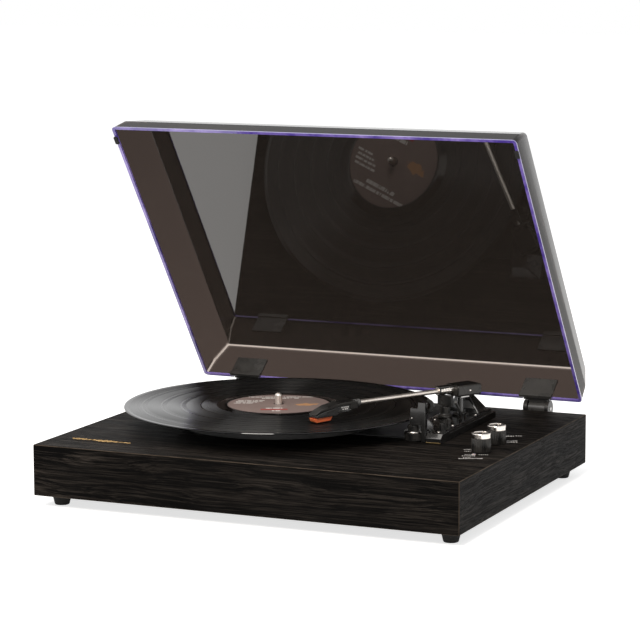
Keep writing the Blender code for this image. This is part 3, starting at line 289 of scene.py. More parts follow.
def group(name, inputs, outputs):
    """A node group with named sockets: (name, kind, start value) and (name, kind)."""
    tree = bpy.data.node_groups.new(name, "ShaderNodeTree")
    for label, kind, value in inputs:
        socket = tree.interface.new_socket(label, in_out="INPUT", socket_type=f"NodeSocket{kind}")
        if value is not None:
            socket.default_value = value
    for label, kind in outputs:
        tree.interface.new_socket(label, in_out="OUTPUT", socket_type=f"NodeSocket{kind}")
    return tree, tree.nodes.new("NodeGroupInput"), tree.nodes.new("NodeGroupOutput")


def use(tree, name, **inputs):
    """Places a shared group in a material and returns its outputs."""
    node = tree.nodes.new("ShaderNodeGroup")
    node.node_tree = bpy.data.node_groups[name]
    for label, value in inputs.items():
        socket = node.inputs[label.replace("_", " ")]
        if isinstance(value, bpy.types.NodeSocket):
            tree.links.new(value, socket)
        else:
            socket.default_value = value
    return node.outputs


def make_groups():
    # moulded: the fine texture of a moulded or painted face, with soft cloudy patches.
    tree, into, out = group("moulded", [("Vector", "Vector", None), ("Grain", "Float", 900.0)],
                            [("Height", "Float"), ("Clouds", "Float")])
    grain = noise(tree, into.outputs["Vector"], into.outputs["Grain"], 2)
    clouds = noise(tree, into.outputs["Vector"], 28, 4, 0.6)
    tree.links.new(grain, out.inputs["Height"])
    tree.links.new(spread(tree, clouds, 0.3, 0.7), out.inputs["Clouds"])

    # dust: sparse pale specks and a faint film.
    tree, into, out = group("dust", [("Vector", "Vector", None), ("Amount", "Float", 0.5)],
                            [("Mask", "Float")])
    cells = put(tree, "TexVoronoi", {"Vector": into.outputs["Vector"], "Scale": 260.0})
    speck = spread(tree, cells.outputs["Distance"], 0.02, 0.10, 1, 0)
    rare = spread(tree, noise(tree, into.outputs["Vector"], 75, 2), 0.60, 0.68)
    film = spread(tree, noise(tree, into.outputs["Vector"], 14, 5, 0.7), 0.45, 0.85, 0, 0.25)
    both = sums(tree, "ADD", sums(tree, "MULTIPLY", speck, rare), film, clamp=True)
    tree.links.new(sums(tree, "MULTIPLY", both, into.outputs["Amount"]), out.inputs["Mask"])

    # edge_wear_and_highlight: where a square piece's rounded edges lie, from the lean of its faces.
    # It marks worn edges, and on the wood foil also a painted highlight.
    tree, into, out = group("edge_wear_and_highlight", [("Normal", "Vector", None), ("Vector", "Vector", None)],
                            [("Mask", "Float")])
    parts = put(tree, "SeparateXYZ", {0: into.outputs["Normal"]}).outputs
    size = [sums(tree, "ABSOLUTE", part) for part in parts]
    pairs = [sums(tree, "MULTIPLY", size[i], size[(i + 1) % 3]) for i in range(3)]
    lean = sums(tree, "ADD", sums(tree, "ADD", pairs[0], pairs[1]), pairs[2])
    worn = spread(tree, noise(tree, into.outputs["Vector"], 60, 4, 0.6), 0.35, 0.60, 0.35, 1)
    mask = sums(tree, "MULTIPLY", spread(tree, lean, 0.15, 0.45), worn, clamp=True)
    tree.links.new(mask, out.inputs["Mask"])

    # rings: distance and bearing about a Z axis through the vector's zero, with fine turned lines.
    tree, into, out = group("rings", [("Vector", "Vector", None), ("Pitch", "Float", 0.0005)],
                            [("Radius", "Float"), ("Height", "Float")])
    parts = put(tree, "SeparateXYZ", {0: into.outputs["Vector"]}).outputs
    squares = [sums(tree, "MULTIPLY", part, part) for part in parts[:2]]
    radius = sums(tree, "SQRT", sums(tree, "ADD", squares[0], squares[1]))
    turns = sums(tree, "DIVIDE", sums(tree, "MULTIPLY", radius, math.tau), into.outputs["Pitch"])
    tree.links.new(radius, out.inputs["Radius"])
    tree.links.new(sums(tree, "MULTIPLY_ADD", sums(tree, "SINE", turns), 0.5, 0.5), out.inputs["Height"])

    # scuffs: thin crossing hairline scratches.
    tree, into, out = group("scuffs", [("Vector", "Vector", None), ("Amount", "Float", 0.5)],
                            [("Mask", "Float")])
    masks = []
    for turn in (0.5, 1.9):
        turn_node = put(tree, "Mapping", {"Vector": into.outputs["Vector"],
                                          "Rotation": (turn, turn * 0.6, turn), "Scale": (10, 420, 420)})
        masks.append(spread(tree, noise(tree, turn_node.outputs[0], 1, 2), 0.70, 0.78))
    both = sums(tree, "MAXIMUM", masks[0], masks[1])
    tree.links.new(sums(tree, "MULTIPLY", both, into.outputs["Amount"]), out.inputs["Mask"])


def shade(name, colour, roughness, metallic=0.0, **own):
    """A material with its Principled shader. own sets the shader's own constant sockets."""
    material = bpy.data.materials.new(name)
    material.use_nodes = True
    tree = material.node_tree
    shader = tree.nodes["Principled BSDF"]
    shader.inputs["Base Color"].default_value = (*colour, 1)
    shader.inputs["Roughness"].default_value = roughness
    shader.inputs["Metallic"].default_value = metallic
    for label, value in own.items():
        shader.inputs[label.replace("_", " ")].default_value = value
    place = put(tree, "TexCoord")
    return material, tree, shader, place.outputs["Object"], place.outputs["Normal"]


def relief(tree, shader, height, strength, depth):
    bump = put(tree, "Bump", {"Height": height, "Strength": strength, "Distance": depth})
    tree.links.new(bump.outputs[0], shader.inputs["Normal"])


def plastic(name, dark, light, roughness, grain=900.0, texture=0.25, dust=0.5, edges=None, **own):
    """Moulded plastic, paint or rubber: two tones in soft patches, a fine grain, dust, worn edges."""
    material, tree, shader, place, normal = shade(name, dark, roughness, **own)
    skin = use(tree, "moulded", Vector=place, Grain=grain)
    specks = use(tree, "dust", Vector=place, Amount=dust)["Mask"]
    colour = blend(tree, skin["Clouds"], (*dark, 1), (*light, 1))
    if edges:
        wear_and_highlight = use(tree, "edge_wear_and_highlight", Normal=normal, Vector=place)["Mask"]
        colour = blend(tree, wear_and_highlight, colour, (*edges, 1))
    colour = blend(tree, specks, colour, (0.16, 0.15, 0.14, 1))
    tree.links.new(colour, shader.inputs["Base Color"])
    rough = sums(tree, "MULTIPLY_ADD", skin["Clouds"], 0.12, roughness - 0.06)
    tree.links.new(sums(tree, "MULTIPLY_ADD", specks, 0.4, rough, clamp=True), shader.inputs["Roughness"])
    relief(tree, shader, skin["Height"], texture, 0.05 * MM)
    return material


def metal(name, tone, shadow, roughness, stretch=(30, 30, 30), texture=0.15, **own):
    """Plated or machined metal: fine lines along the least stretched axis, with duller patches."""
    material, tree, shader, place, _ = shade(name, tone, roughness, 1.0, **own)
    lines = put(tree, "Mapping", {"Vector": place, "Scale": stretch}).outputs[0]
    brushed = noise(tree, lines, 18, 3, 0.6)
    clouds = use(tree, "moulded", Vector=place, Grain=900.0)["Clouds"]
    mask = sums(tree, "MULTIPLY", clouds, spread(tree, brushed, 0.35, 0.65), clamp=True)
    tree.links.new(blend(tree, mask, (*tone, 1), (*shadow, 1)), shader.inputs["Base Color"])
    tree.links.new(sums(tree, "MULTIPLY_ADD", brushed, 0.12, roughness - 0.06), shader.inputs["Roughness"])
    relief(tree, shader, brushed, texture, 0.02 * MM)
    return material


def wood_foil():
    """Black ash foil: long pores along X, or along Y on the ends, with lighter brown rounded edges:
    partly worn foil, partly a painted highlight.
    """
    material, tree, shader, place, normal = shade("wood_grain", (0.02, 0.018, 0.016), 0.5,
                                                  Specular_IOR_Level=0.03)
    facing = sums(tree, "ABSOLUTE", put(tree, "SeparateXYZ", {0: normal}).outputs[0])
    end = sums(tree, "GREATER_THAN", facing, 0.7)
    parts = put(tree, "SeparateXYZ", {0: place}).outputs
    swapped = put(tree, "CombineXYZ", {0: parts[1], 1: parts[0], 2: parts[2]}).outputs[0]
    lay = put(tree, "Mix", data_type="VECTOR")
    for socket, value in ((lay.inputs[0], end), (lay.inputs[4], place), (lay.inputs[5], swapped)):
        tree.links.new(value, socket)
    along = lay.outputs[1]
    wander = noise(tree, put(tree, "Mapping", {"Vector": along, "Scale": (7, 26, 26)}).outputs[0], 1, 2)
    offset = put(tree, "CombineXYZ", {1: sums(tree, "MULTIPLY", wander, 0.016),
                                      2: sums(tree, "MULTIPLY", wander, 0.016)}).outputs[0]
    bent = put(tree, "VectorMath", {0: along, 1: offset}, operation="ADD").outputs[0]
    pores = noise(tree, put(tree, "Mapping", {"Vector": bent, "Scale": (26, 1300, 1300)}).outputs[0], 1, 3,
                  0.6)
    streaks = noise(tree, put(tree, "Mapping", {"Vector": bent, "Scale": (6, 420, 420)}).outputs[0], 1, 4,
                    0.65)
    bands = noise(tree, put(tree, "Mapping", {"Vector": bent, "Scale": (2.5, 45, 45)}).outputs[0], 1, 2)
    light = sums(tree, "MULTIPLY", spread(tree, streaks, 0.44, 0.60), spread(tree, bands, 0.35, 0.6, 0.35, 1))
    deep = spread(tree, pores, 0.42, 0.55)
    tone = sums(tree, "MULTIPLY", light, spread(tree, deep, 0, 1, 0.25, 1))
    # the ends, the plinth's sides, are darkened to about a third: painted shade on the sides
    tone = sums(tree, "MULTIPLY", tone, spread(tree, end, 0, 1, 1, 0.35))
    colour = blend(tree, tone, (0.0016, 0.0014, 0.0013, 1), (0.046, 0.038, 0.032, 1))
    # lighter brown on the rounded edges: partly wear, partly a painted highlight along the plinth's edges
    wear_and_highlight = use(tree, "edge_wear_and_highlight", Normal=normal, Vector=place)["Mask"]
    colour = blend(tree, sums(tree, "MULTIPLY", wear_and_highlight, 0.75), colour, (0.10, 0.076, 0.056, 1))
    specks = use(tree, "dust", Vector=place, Amount=0.12)["Mask"]
    tree.links.new(blend(tree, specks, colour, (0.10, 0.095, 0.09, 1)), shader.inputs["Base Color"])
    tree.links.new(spread(tree, sums(tree, "MULTIPLY", deep, streaks), 0, 0.7, 0.66, 0.46),
                   shader.inputs["Roughness"])
    relief(tree, shader, deep, 0.5, 0.12 * MM)
    return material


def about_spindle(tree, place):
    spindle = ORIGIN @ Vector((SPINDLE.x, SPINDLE.y, 0))
    return put(tree, "Mapping", {"Vector": place, "Location": (-spindle.x, -spindle.y, 0)}).outputs[0]


def vinyl():
    """Pressed vinyl: grooves that stretch highlights into spokes, darker blank rings between tracks."""
    material, tree, shader, place, _ = shade("vinyl", (0.003, 0.003, 0.003), 0.30, Anisotropic=1.0,
                                             Anisotropic_Rotation=0.25)
    centred = about_spindle(tree, place)
    rings = use(tree, "rings", Vector=centred, Pitch=0.0011)
    flat = put(tree, "Mapping", {"Vector": centred, "Scale": (1, 1, 0)}).outputs[0]
    radius = rings["Radius"]
    loud = put(tree, "CombineXYZ", {0: sums(tree, "MULTIPLY", radius, 420)}).outputs[0]
    bands = noise(tree, loud, 1, 4, 0.7)
    tracks = put(tree, "CombineXYZ", {0: sums(tree, "MULTIPLY", radius, 62)}).outputs[0]
    gap = sums(tree, "PINGPONG", radius, 0.0095)
    blank = spread(tree, gap, 0.0003, 0.0007, 1, 0)
    inner = spread(tree, radius, 0.0600, 0.0606, 1, 0)
    outer = spread(tree, radius, RECORD_RADIUS - 0.0045, RECORD_RADIUS - 0.0040)
    smooth = sums(tree, "MAXIMUM", sums(tree, "MAXIMUM", sums(tree, "MULTIPLY", blank, 0.6), inner), outer)
    tone = blend(tree, spread(tree, bands, 0.35, 0.65), (0.0018, 0.0018, 0.0018, 1),
                 (0.0040, 0.0038, 0.0036, 1))
    specks = use(tree, "dust", Vector=flat, Amount=0.12)["Mask"]
    tree.links.new(blend(tree, specks, blend(tree, smooth, tone, (0.0015, 0.0015, 0.0015, 1)),
                         (0.06, 0.057, 0.054, 1)), shader.inputs["Base Color"])
    groove = sums(tree, "MULTIPLY_ADD", spread(tree, bands, 0.3, 0.7), 0.04, 0.265)
    tree.links.new(sums(tree, "SUBTRACT", groove, sums(tree, "MULTIPLY", smooth, 0.19)),
                   shader.inputs["Roughness"])
    tangent = put(tree, "Tangent", direction_type="RADIAL", axis="Z")
    tree.links.new(tangent.outputs[0], shader.inputs["Tangent"])
    height = sums(tree, "ADD", sums(tree, "MULTIPLY", rings["Height"], 0.5),
                  sums(tree, "MULTIPLY", noise(tree, tracks, 1, 1), 0.5))
    relief(tree, shader, height, 0.10, 0.03 * MM)
    return material


def printed_rows(tree, vector, rows, seed):
    """Dashes like lines of small print, as a mask: rows of (left, right, height, thickness)."""
    parts = put(tree, "SeparateXYZ", {0: vector}).outputs
    broken = noise(tree, put(tree, "Mapping", {"Vector": vector, "Location": (seed, 0, 0),
                                               "Scale": (620, 90, 1)}).outputs[0], 1, 0)
    letters = spread(tree, broken, 0.36, 0.42)
    whole = None
    for left, right, height, thickness in rows:
        across = sums(tree, "COMPARE", parts[1], height, thickness / 2)
        wide = sums(tree, "COMPARE", parts[0], (left + right) / 2, (right - left) / 2)
        row = sums(tree, "MULTIPLY", across, wide)
        whole = row if whole is None else sums(tree, "MAXIMUM", whole, row)
    return sums(tree, "MULTIPLY", whole, letters)


def paper_label():
    """A mauve paper label with rows of small pale print, a red bar and a small painted flower."""
    material, tree, shader, place, _ = shade("label", (0.2, 0.14, 0.13), 0.55, Specular_IOR_Level=0.4)
    centred = about_spindle(tree, place)
    turned_by = put(tree, "Mapping", {"Vector": centred, "Rotation": (0, 0, math.radians(-24))}).outputs[0]
    fibres = noise(tree, centred, 1500, 3, 0.7)
    clouds = use(tree, "moulded", Vector=centred, Grain=900.0)["Clouds"]
    paper = blend(tree, clouds, (0.235, 0.170, 0.155, 1), (0.290, 0.215, 0.195, 1))
    paper = blend(tree, spread(tree, fibres, 0.35, 0.7, 0, 0.35), paper, (0.37, 0.29, 0.26, 1))
    rings = use(tree, "rings", Vector=centred, Pitch=0.0011)
    rows = [(-0.030, 0.034, 0.0370, 0.0034), (-0.017, 0.020, 0.0305, 0.0040),
            (-0.040, -0.014, 0.0185, 0.0026), (-0.042, -0.016, 0.0135, 0.0024),
            (-0.043, -0.020, 0.0086, 0.0024), (-0.044, -0.024, 0.0038, 0.0024),
            (-0.012, 0.004, -0.0235, 0.0040), (-0.006, 0.002, -0.0370, 0.0040)]
    ink = printed_rows(tree, turned_by, rows, 3.1)
    paper = blend(tree, ink, paper, (0.88, 0.84, 0.80, 1))
    parts = put(tree, "SeparateXYZ", {0: turned_by}).outputs
    bar = sums(tree, "MULTIPLY", sums(tree, "COMPARE", parts[1], -0.0300, 0.0024),
               sums(tree, "COMPARE", parts[0], -0.004, 0.013))
    paper = blend(tree, sums(tree, "MULTIPLY", bar, 0.9), paper, (0.48, 0.03, 0.02, 1))
    spot = put(tree, "Mapping", {"Vector": turned_by, "Location": (-0.0265 / 0.0115, 0.004 / 0.0065, 0),
                                 "Scale": (1 / 0.0115, 1 / 0.0065, 0)}).outputs[0]
    away = put(tree, "VectorMath", {0: spot}, operation="LENGTH").outputs["Value"]
    petals = sums(tree, "ADD", away, spread(tree, noise(tree, centred, 160, 3), 0.3, 0.7, -0.35, 0.35))
    paper = blend(tree, spread(tree, petals, 0.8, 1.0, 1, 0), paper, (0.62, 0.33, 0.16, 1))
    rim = spread(tree, rings["Radius"], LABEL_RADIUS - 0.0012, LABEL_RADIUS - 0.0006)
    hole = spread(tree, rings["Radius"], 0.0050, 0.0056, 1, 0)
    paper = blend(tree, sums(tree, "MAXIMUM", sums(tree, "MULTIPLY", rim, 0.6), hole), paper,
                  (0.07, 0.05, 0.05, 1))
    tree.links.new(paper, shader.inputs["Base Color"])
    tree.links.new(sums(tree, "MULTIPLY_ADD", fibres, 0.2, 0.42), shader.inputs["Roughness"])
    relief(tree, shader, fibres, 0.12, 0.03 * MM)
    return material


def acrylic(name, tint, film, roughness, **own):
    """Smoked acrylic: clear to see through, tinted, with hairline scuffs and a little dust."""
    material, tree, shader, place, _ = shade(name, tint, roughness, Transmission_Weight=1.0, **own)
    marks = use(tree, "scuffs", Vector=place, Amount=0.35)["Mask"]
    specks = use(tree, "dust", Vector=place, Amount=0.25)["Mask"]
    tone = blend(tree, specks, (*tint, 1), (*film, 1))
    tree.links.new(tone, shader.inputs["Base Color"])
    rough = sums(tree, "ADD", sums(tree, "MULTIPLY", marks, 0.10), sums(tree, "MULTIPLY", specks, 0.12))
    tree.links.new(sums(tree, "ADD", rough, roughness), shader.inputs["Roughness"])
    ripple = noise(tree, place, 7, 2)
    relief(tree, shader, ripple, 0.05, 0.6 * MM)
    return material


def violet_rim():
    """The cover's polished rim, painted violet as a glowing line of the light it gathers, lighter in painted
    glints.
    """
    material, tree, shader, place, _ = shade("violet_rim", (0.07, 0.045, 0.24), 0.12, Coat_Weight=1.0,
                                             Coat_Roughness=0.05)
    long_noise = put(tree, "Mapping", {"Vector": place, "Scale": (24, 24, 24)}).outputs[0]
    painted_glints = spread(tree, noise(tree, long_noise, 1, 4, 0.7), 0.40, 0.72)
    # lighter violet patches: painted glints
    tree.links.new(blend(tree, painted_glints, (0.085, 0.050, 0.34, 1), (0.42, 0.32, 0.80, 1)),
                   shader.inputs["Base Color"])
    tree.links.new(spread(tree, painted_glints, 0, 1, 0.10, 0.28), shader.inputs["Roughness"])
    relief(tree, shader, noise(tree, place, 900, 2), 0.2, 0.04 * MM)
    return material


def lamp_lens():
    material, tree, shader, place, _ = shade("lamp", (0.62, 0.42, 0.40), 0.25, Subsurface_Weight=0.3)
    clouds = use(tree, "moulded", Vector=place, Grain=2500.0)
    tree.links.new(blend(tree, clouds["Height"], (0.55, 0.36, 0.34, 1), (0.80, 0.62, 0.60, 1)),
                   shader.inputs["Base Color"])
    relief(tree, shader, clouds["Height"], 0.2, 0.03 * MM)
    return material


def make_finishes():
    make_groups()
    return {
        "wood_grain": wood_foil(),
        "vinyl": vinyl(),
        "label": paper_label(),
        "lamp": lamp_lens(),
        "smoked_acrylic": acrylic("smoked_acrylic", (0.014, 0.011, 0.009), (0.022, 0.019, 0.017), 0.015,
                                  IOR=1.8),
        # the cover's walls: the same acrylic tinted lighter, a painted sheen standing in for the light they
        # reflect
        "painted_sheen_smoke": acrylic("painted_sheen_smoke", (0.048, 0.036, 0.031), (0.08, 0.066, 0.058), 0.03, IOR=1.12),
        # the cover's folds: a pale, nearly clear tint that shows the white background through, a painted
        # highlight along the creases
        "painted_fold_highlight": acrylic("painted_fold_highlight", (0.42, 0.36, 0.32), (0.60, 0.55, 0.50), 0.05, IOR=1.5),
        "violet_rim": violet_rim(),
        "rubber": plastic("rubber", (0.010, 0.010, 0.010), (0.018, 0.018, 0.018), 0.85, 700, 0.5, 0.8,
                          Specular_IOR_Level=0.3),
        "black_plastic": plastic("black_plastic", (0.004, 0.0038, 0.0036), (0.007, 0.0066, 0.0063), 0.28,
                                 1500, 0.2, 0.3, (0.040, 0.037, 0.034), Specular_IOR_Level=0.35),
        "gloss_black": plastic("gloss_black", (0.003, 0.003, 0.003), (0.005, 0.0048, 0.0046), 0.16, 500,
                               0.05, 0.3, (0.03, 0.028, 0.026), Coat_Weight=0.5, Coat_Roughness=0.06),
        "grey_plastic": plastic("grey_plastic", (0.035, 0.034, 0.033), (0.055, 0.053, 0.051), 0.4, 1200,
                                0.2, 0.4, (0.10, 0.098, 0.095)),
        "black_metal": plastic("black_metal", (0.012, 0.012, 0.012), (0.020, 0.020, 0.019), 0.42, 1800,
                               0.35, 0.5, (0.07, 0.068, 0.065), Specular_IOR_Level=0.6),
        "white_plastic": plastic("white_plastic", (0.62, 0.61, 0.58), (0.70, 0.69, 0.66), 0.3, 900, 0.1, 0.3),
        "red_plastic": plastic("red_plastic", (0.42, 0.018, 0.015), (0.50, 0.025, 0.02), 0.3, 900, 0.1, 0.3),
        "orange": plastic("orange", (0.62, 0.055, 0.012), (0.72, 0.085, 0.018), 0.32, 900, 0.1, 0.2,
                          (0.85, 0.2, 0.06), Subsurface_Weight=0.15),
        "board": plastic("board", (0.012, 0.05, 0.028), (0.02, 0.075, 0.04), 0.4, 350, 0.4, 0.4),
        "legend": plastic("legend", (0.78, 0.75, 0.72), (0.90, 0.87, 0.84), 0.55, 1500, 0.2, 0.2),
        "chrome": metal("chrome", (0.80, 0.75, 0.70), (0.55, 0.50, 0.45), 0.20),
        "satin_chrome": metal("satin_chrome", (0.86, 0.79, 0.72), (0.62, 0.55, 0.48), 0.34),
        "steel": metal("steel", (0.56, 0.55, 0.54), (0.36, 0.35, 0.34), 0.28, (20, 20, 160)),
        "brass": metal("brass", (0.62, 0.43, 0.19), (0.40, 0.26, 0.10), 0.3, (20, 20, 160)),
        "gold": metal("gold", (0.62, 0.42, 0.20), (0.40, 0.25, 0.10), 0.38, texture=0.4),
        "grip": plastic("grip", (0.05, 0.049, 0.047), (0.16, 0.155, 0.15), 0.5, 700, 0.8, 0.6),
        # the hinge leaves: lighter patches in strong contrast, painted highlights for the light the leaves
        # catch
        "hinge_black_painted_highlights": plastic("hinge_black_painted_highlights", (0.006, 0.006, 0.006), (0.06, 0.058, 0.055), 0.24, 320,
                               0.5, 1.0, (0.06, 0.058, 0.055), Coat_Weight=0.6, Coat_Roughness=0.08),
    }


# Pieces ------------------------------------------------------------------------------------------

LOOKS = make_finishes()
BODY_OF = {node: body for body, nodes in frame["record"]["behaviour"]["bodies"].items() for node in nodes}
SMOOTH_BELOW = math.radians(38)


def piece(name, bm, finish, node=None, body=None, place=Matrix(), more=(), level=True):
    """Stands a finished piece in the model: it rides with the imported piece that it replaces, or on
    a body. more are finishes after the first, for faces with another material index."""
    bm.transform(ORIGIN @ place)
    mesh = as_mesh(bm, name)
    for look in (finish, *more):
        mesh.materials.append(LOOKS[look])
    mesh.shade_smooth()
    mesh.set_sharp_from_angle(angle=SMOOTH_BELOW)
    obj = bpy.data.objects.new(name, mesh)
    bpy.context.scene.collection.objects.link(obj)
    if level:
        even = obj.modifiers.new("even_normals", "WEIGHTED_NORMAL")
        even.keep_sharp = True
    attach(obj, body or BODY_OF[node])
    if node:
        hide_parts(node)
    return obj


def make_plinth():
    half = (CASE.x / 2, CASE.y / 2)
    inner = (half[0] - 15 * MM, half[1] - 15 * MM)
    rebate = (inner[0] + 6 * MM, inner[1] + 6 * MM)
    ceiling = TOP - 12 * MM
    case = block((-half[0], -half[1], 0), (half[0], half[1], TOP), 0.9 * MM, 4)
    motor = middle_of("motor")
    tools = [block((-inner[0], -inner[1], -15 * MM), (inner[0], inner[1], ceiling)),
             block((-rebate[0], -rebate[1], -15 * MM), (rebate[0], rebate[1], 3.3 * MM))]
    for radius, node in ((9.5 * MM, "bearing_housing"), (18.5 * MM, "motor"), (4.2 * MM, "volume_shaft"),
                         (4.2 * MM, "mode_shaft"), (2.4 * MM, "status_lamp")):
        spot = motor if node == "motor" else middle_of(node)
        tools.append(rod(radius, ceiling - 15 * MM, TOP + 15 * MM, at=(spot.x, spot.y, 0)))
    low, high = span_of("jack_plate")
    tools.append(block((low.x + 4 * MM, inner[1] - 15 * MM, low.z + 4 * MM),
                       (high.x - 4 * MM, half[1] + 15 * MM, high.z - 4 * MM)))
    piece("plinth_case", cut(case, *tools), "wood_grain", "plinth")
    for side in ("front_left", "front_right", "back_left", "back_right"):
        low, high = span_of(f"foot_{side}")
        middle = (low + high) / 2
        profile = [(0, high.z), (9.5 * MM, high.z), (9.5 * MM, high.z - 2.2 * MM),
                   (9.0 * MM, high.z - 2.6 * MM), (8.8 * MM, high.z - 3.6 * MM), (7 * MM, low.z + 0.5 * MM),
                   (6.5 * MM, low.z), (4.2 * MM, low.z), (3.8 * MM, low.z + 0.8 * MM), (0, low.z + 0.8 * MM)]
        foot = turned(profile, 64, soft=0.25 * MM, at=(middle.x, middle.y, 0))
        piece(f"rubber_foot_{side}", foot, "rubber", f"foot_{side}")


def make_ornament():
    """A gilt flourish: a slanting wave that swells twice and runs out to fine points."""
    low, high = span_of("ornament")
    length = high.x - low.x
    steps = 220
    bm = bmesh.new()
    rings = []
    for i in range(steps + 1):
        t = i / steps
        swell = math.sin(math.pi * t) ** 0.6
        pulse = 0.55 + 0.45 * math.cos(2 * math.tau * (t - 0.08))
        tall = 3.5 * MM * (0.35 + 0.65 * swell) * pulse * math.sin(13 * math.tau * t + 0.5)
        x = low.x + 3 * MM + (length - 6 * MM) * t + 0.75 * tall
        y = (low.y + high.y) / 2 + tall + 0.4 * MM * math.sin(math.tau * t)
        half = (0.20 + 0.22 * swell * (0.6 + 0.4 * math.cos(13 * math.tau * t))) * MM
        rings.append([bm.verts.new(p) for p in ((x - half, y, low.z), (x, y - half, low.z),
                                                (x + half, y, low.z), (x, y, low.z + 0.7 * MM))])
    for first, second in zip(rings, rings[1:]):
        for i in range(4):
            j = (i + 1) % 4
            bm.faces.new((first[i], first[j], second[j], second[i]))
    bm.faces.new(rings[0])
    bm.faces.new(rings[-1])
    piece("gilt_flourish", bm, "gold", "ornament")


def make_platter():
    high = span_of("platter")[1].z
    low = span_of("platter")[0].z
    web = high - 4 * MM
    bore = 3.8 * MM
    profile = [(bore, low + 1.5 * MM), (13 * MM, low + 1.5 * MM), (13 * MM, web), (66.5 * MM, web),
               (66.5 * MM, low + 2.5 * MM), (70 * MM, low + 2.5 * MM), (70 * MM, web), (94 * MM, web),
               (94 * MM, low), (100 * MM, low), (100 * MM, high), (bore, high)]
    at = (SPINDLE.x, SPINDLE.y, 0)
    piece("cast_platter", turned(profile, 180, soft=0.6 * MM, at=at), "black_metal", "platter")
    low, high = span_of("slip_mat")
    ribs = [(bore, low.z), (98 * MM, low.z), (98 * MM, high.z)]
    for i in range(18):
        radius = (96 - 2.5 * i) * MM
        ribs += [(radius, high.z), (radius - 0.5 * MM, high.z - 0.6 * MM),
                 (radius - 1.3 * MM, high.z - 0.6 * MM), (radius - 1.8 * MM, high.z)]
    piece("ribbed_mat", turned(ribs + [(bore, high.z)], 128, at=at), "rubber", "slip_mat")

    low, top = RECORD_LOW.z, RECORD_TOP
    edge = RECORD_RADIUS
    dip = 0.25 * MM
    disc = [(bore, low), (edge - 0.9 * MM, low), (edge - 0.25 * MM, low + 0.25 * MM), (edge, low + 0.8 * MM),
            (edge - 0.25 * MM, top - 0.25 * MM), (edge - 0.9 * MM, top), (edge - 2.4 * MM, top - 0.03 * MM),
            (edge - 3.4 * MM, top - dip)]
    for radius in (128, 109, 90, 75):
        disc += [((radius + 0.6) * MM, top - dip), ((radius + 0.3) * MM, top - dip - 0.06 * MM),
                 ((radius - 0.3) * MM, top - dip - 0.06 * MM), ((radius - 0.6) * MM, top - dip)]
    label = LABEL_RADIUS
    disc += [(label + 5 * MM, top - dip), (label + 4 * MM, top), (label + 1.5 * MM, top),
             (label + GAP, top - 0.1 * MM), (label + GAP, top - 0.6 * MM), (bore, top - 0.6 * MM)]
    piece("long_player", turned(disc, 256, at=at), "vinyl", "record", level=False)
    low, high = (corner.z for corner in span_of("record_label"))
    paper = [(bore, low), (label, low), (label, high - 0.1 * MM), (label - 0.15 * MM, high),
             (16.6 * MM, high), (16.2 * MM, high - 0.12 * MM), (15.6 * MM, high - 0.12 * MM),
             (15.2 * MM, high), (bore, high)]
    piece("paper_label", turned(paper, 160, at=at), "label", "record_label")

    low, high = (corner.z for corner in span_of("spindle"))
    radius = 3.5 * MM
    collar = TOP + 4.2 * MM
    hub = span_of("platter")[0].z + 1.2 * MM
    pin = [(0, low), (radius, low), (radius, collar), (7 * MM, collar), (7 * MM, hub), (radius, hub),
           (radius, high - 3.2 * MM)]
    pin += [(radius * math.cos(math.radians(a)), high - 3.2 * MM + 3.2 * MM * math.sin(math.radians(a)))
            for a in range(15, 90, 15)]
    piece("spindle_pin", turned(pin + [(0, high)], 64, at=at), "satin_chrome", "spindle")


def make_knobs():
    for name in ("volume", "mode"):
        low, high = span_of(f"{name}_knob")
        middle = (low + high) / 2
        ribs = 32
        outline = []
        for i in range(ribs * 6):
            turn = math.tau * i / (ribs * 6)
            outline.append((8.95 * MM + 0.35 * MM * math.cos(ribs * turn), turn))
        skirt = pulled([(r * math.cos(a), r * math.sin(a)) for r, a in outline], low.z, high.z)
        for vert in skirt.verts:
            if vert.co.z > middle.z:
                vert.co.xy = vert.co.xy * 0.95
        foot = [e for e in skirt.edges if abs(e.verts[0].co.z - e.verts[1].co.z) < 1e-6]
        bmesh.ops.bevel(skirt, geom=foot, offset=0.3 * MM, segments=2, profile=0.5, affect="EDGES",
                        clamp_overlap=True, material=-1)
        bore = rod(2.8 * MM, low.z - 2 * MM, high.z - 2.4 * MM)
        piece(f"{name}_skirt", moved(cut(skirt, bore), middle.x, middle.y), "black_plastic", f"{name}_knob",
              level=False)
        low, high = span_of(f"{name}_knob_cap")
        radius = 8.74 * MM
        cap = [(0, low.z), (radius, low.z), (radius, high.z - 0.9 * MM),
               (radius - 0.3 * MM, high.z - 0.3 * MM), (radius - 0.8 * MM, high.z),
               (radius - 1.4 * MM, high.z - 0.1 * MM), (radius - 2.0 * MM, high.z - 0.8 * MM),
               (radius - 2.6 * MM, high.z - 0.9 * MM), (1.2 * MM, high.z - 0.8 * MM), (0, high.z - 0.8 * MM)]
        spun = turned(cap, 96, soft=0.12 * MM)
        pointer = block((-0.45 * MM, 4.6 * MM, high.z - 1.2 * MM), (0.45 * MM, 8.3 * MM, high.z), 0.12 * MM,
                        2)
        piece(f"{name}_cap", moved(stacked(spun, pointer), middle.x, middle.y), "chrome", f"{name}_knob_cap")
    low, high = span_of("status_lamp")
    middle = (low + high) / 2
    lens = [(0, low.z), (2.1 * MM, low.z), (2.1 * MM, high.z - 0.8 * MM), (1.7 * MM, high.z - 0.25 * MM),
            (0.9 * MM, high.z - 0.03 * MM), (0, high.z)]
    piece("lamp_lens", turned(lens, 40, at=(middle.x, middle.y, 0)), "lamp", "status_lamp")


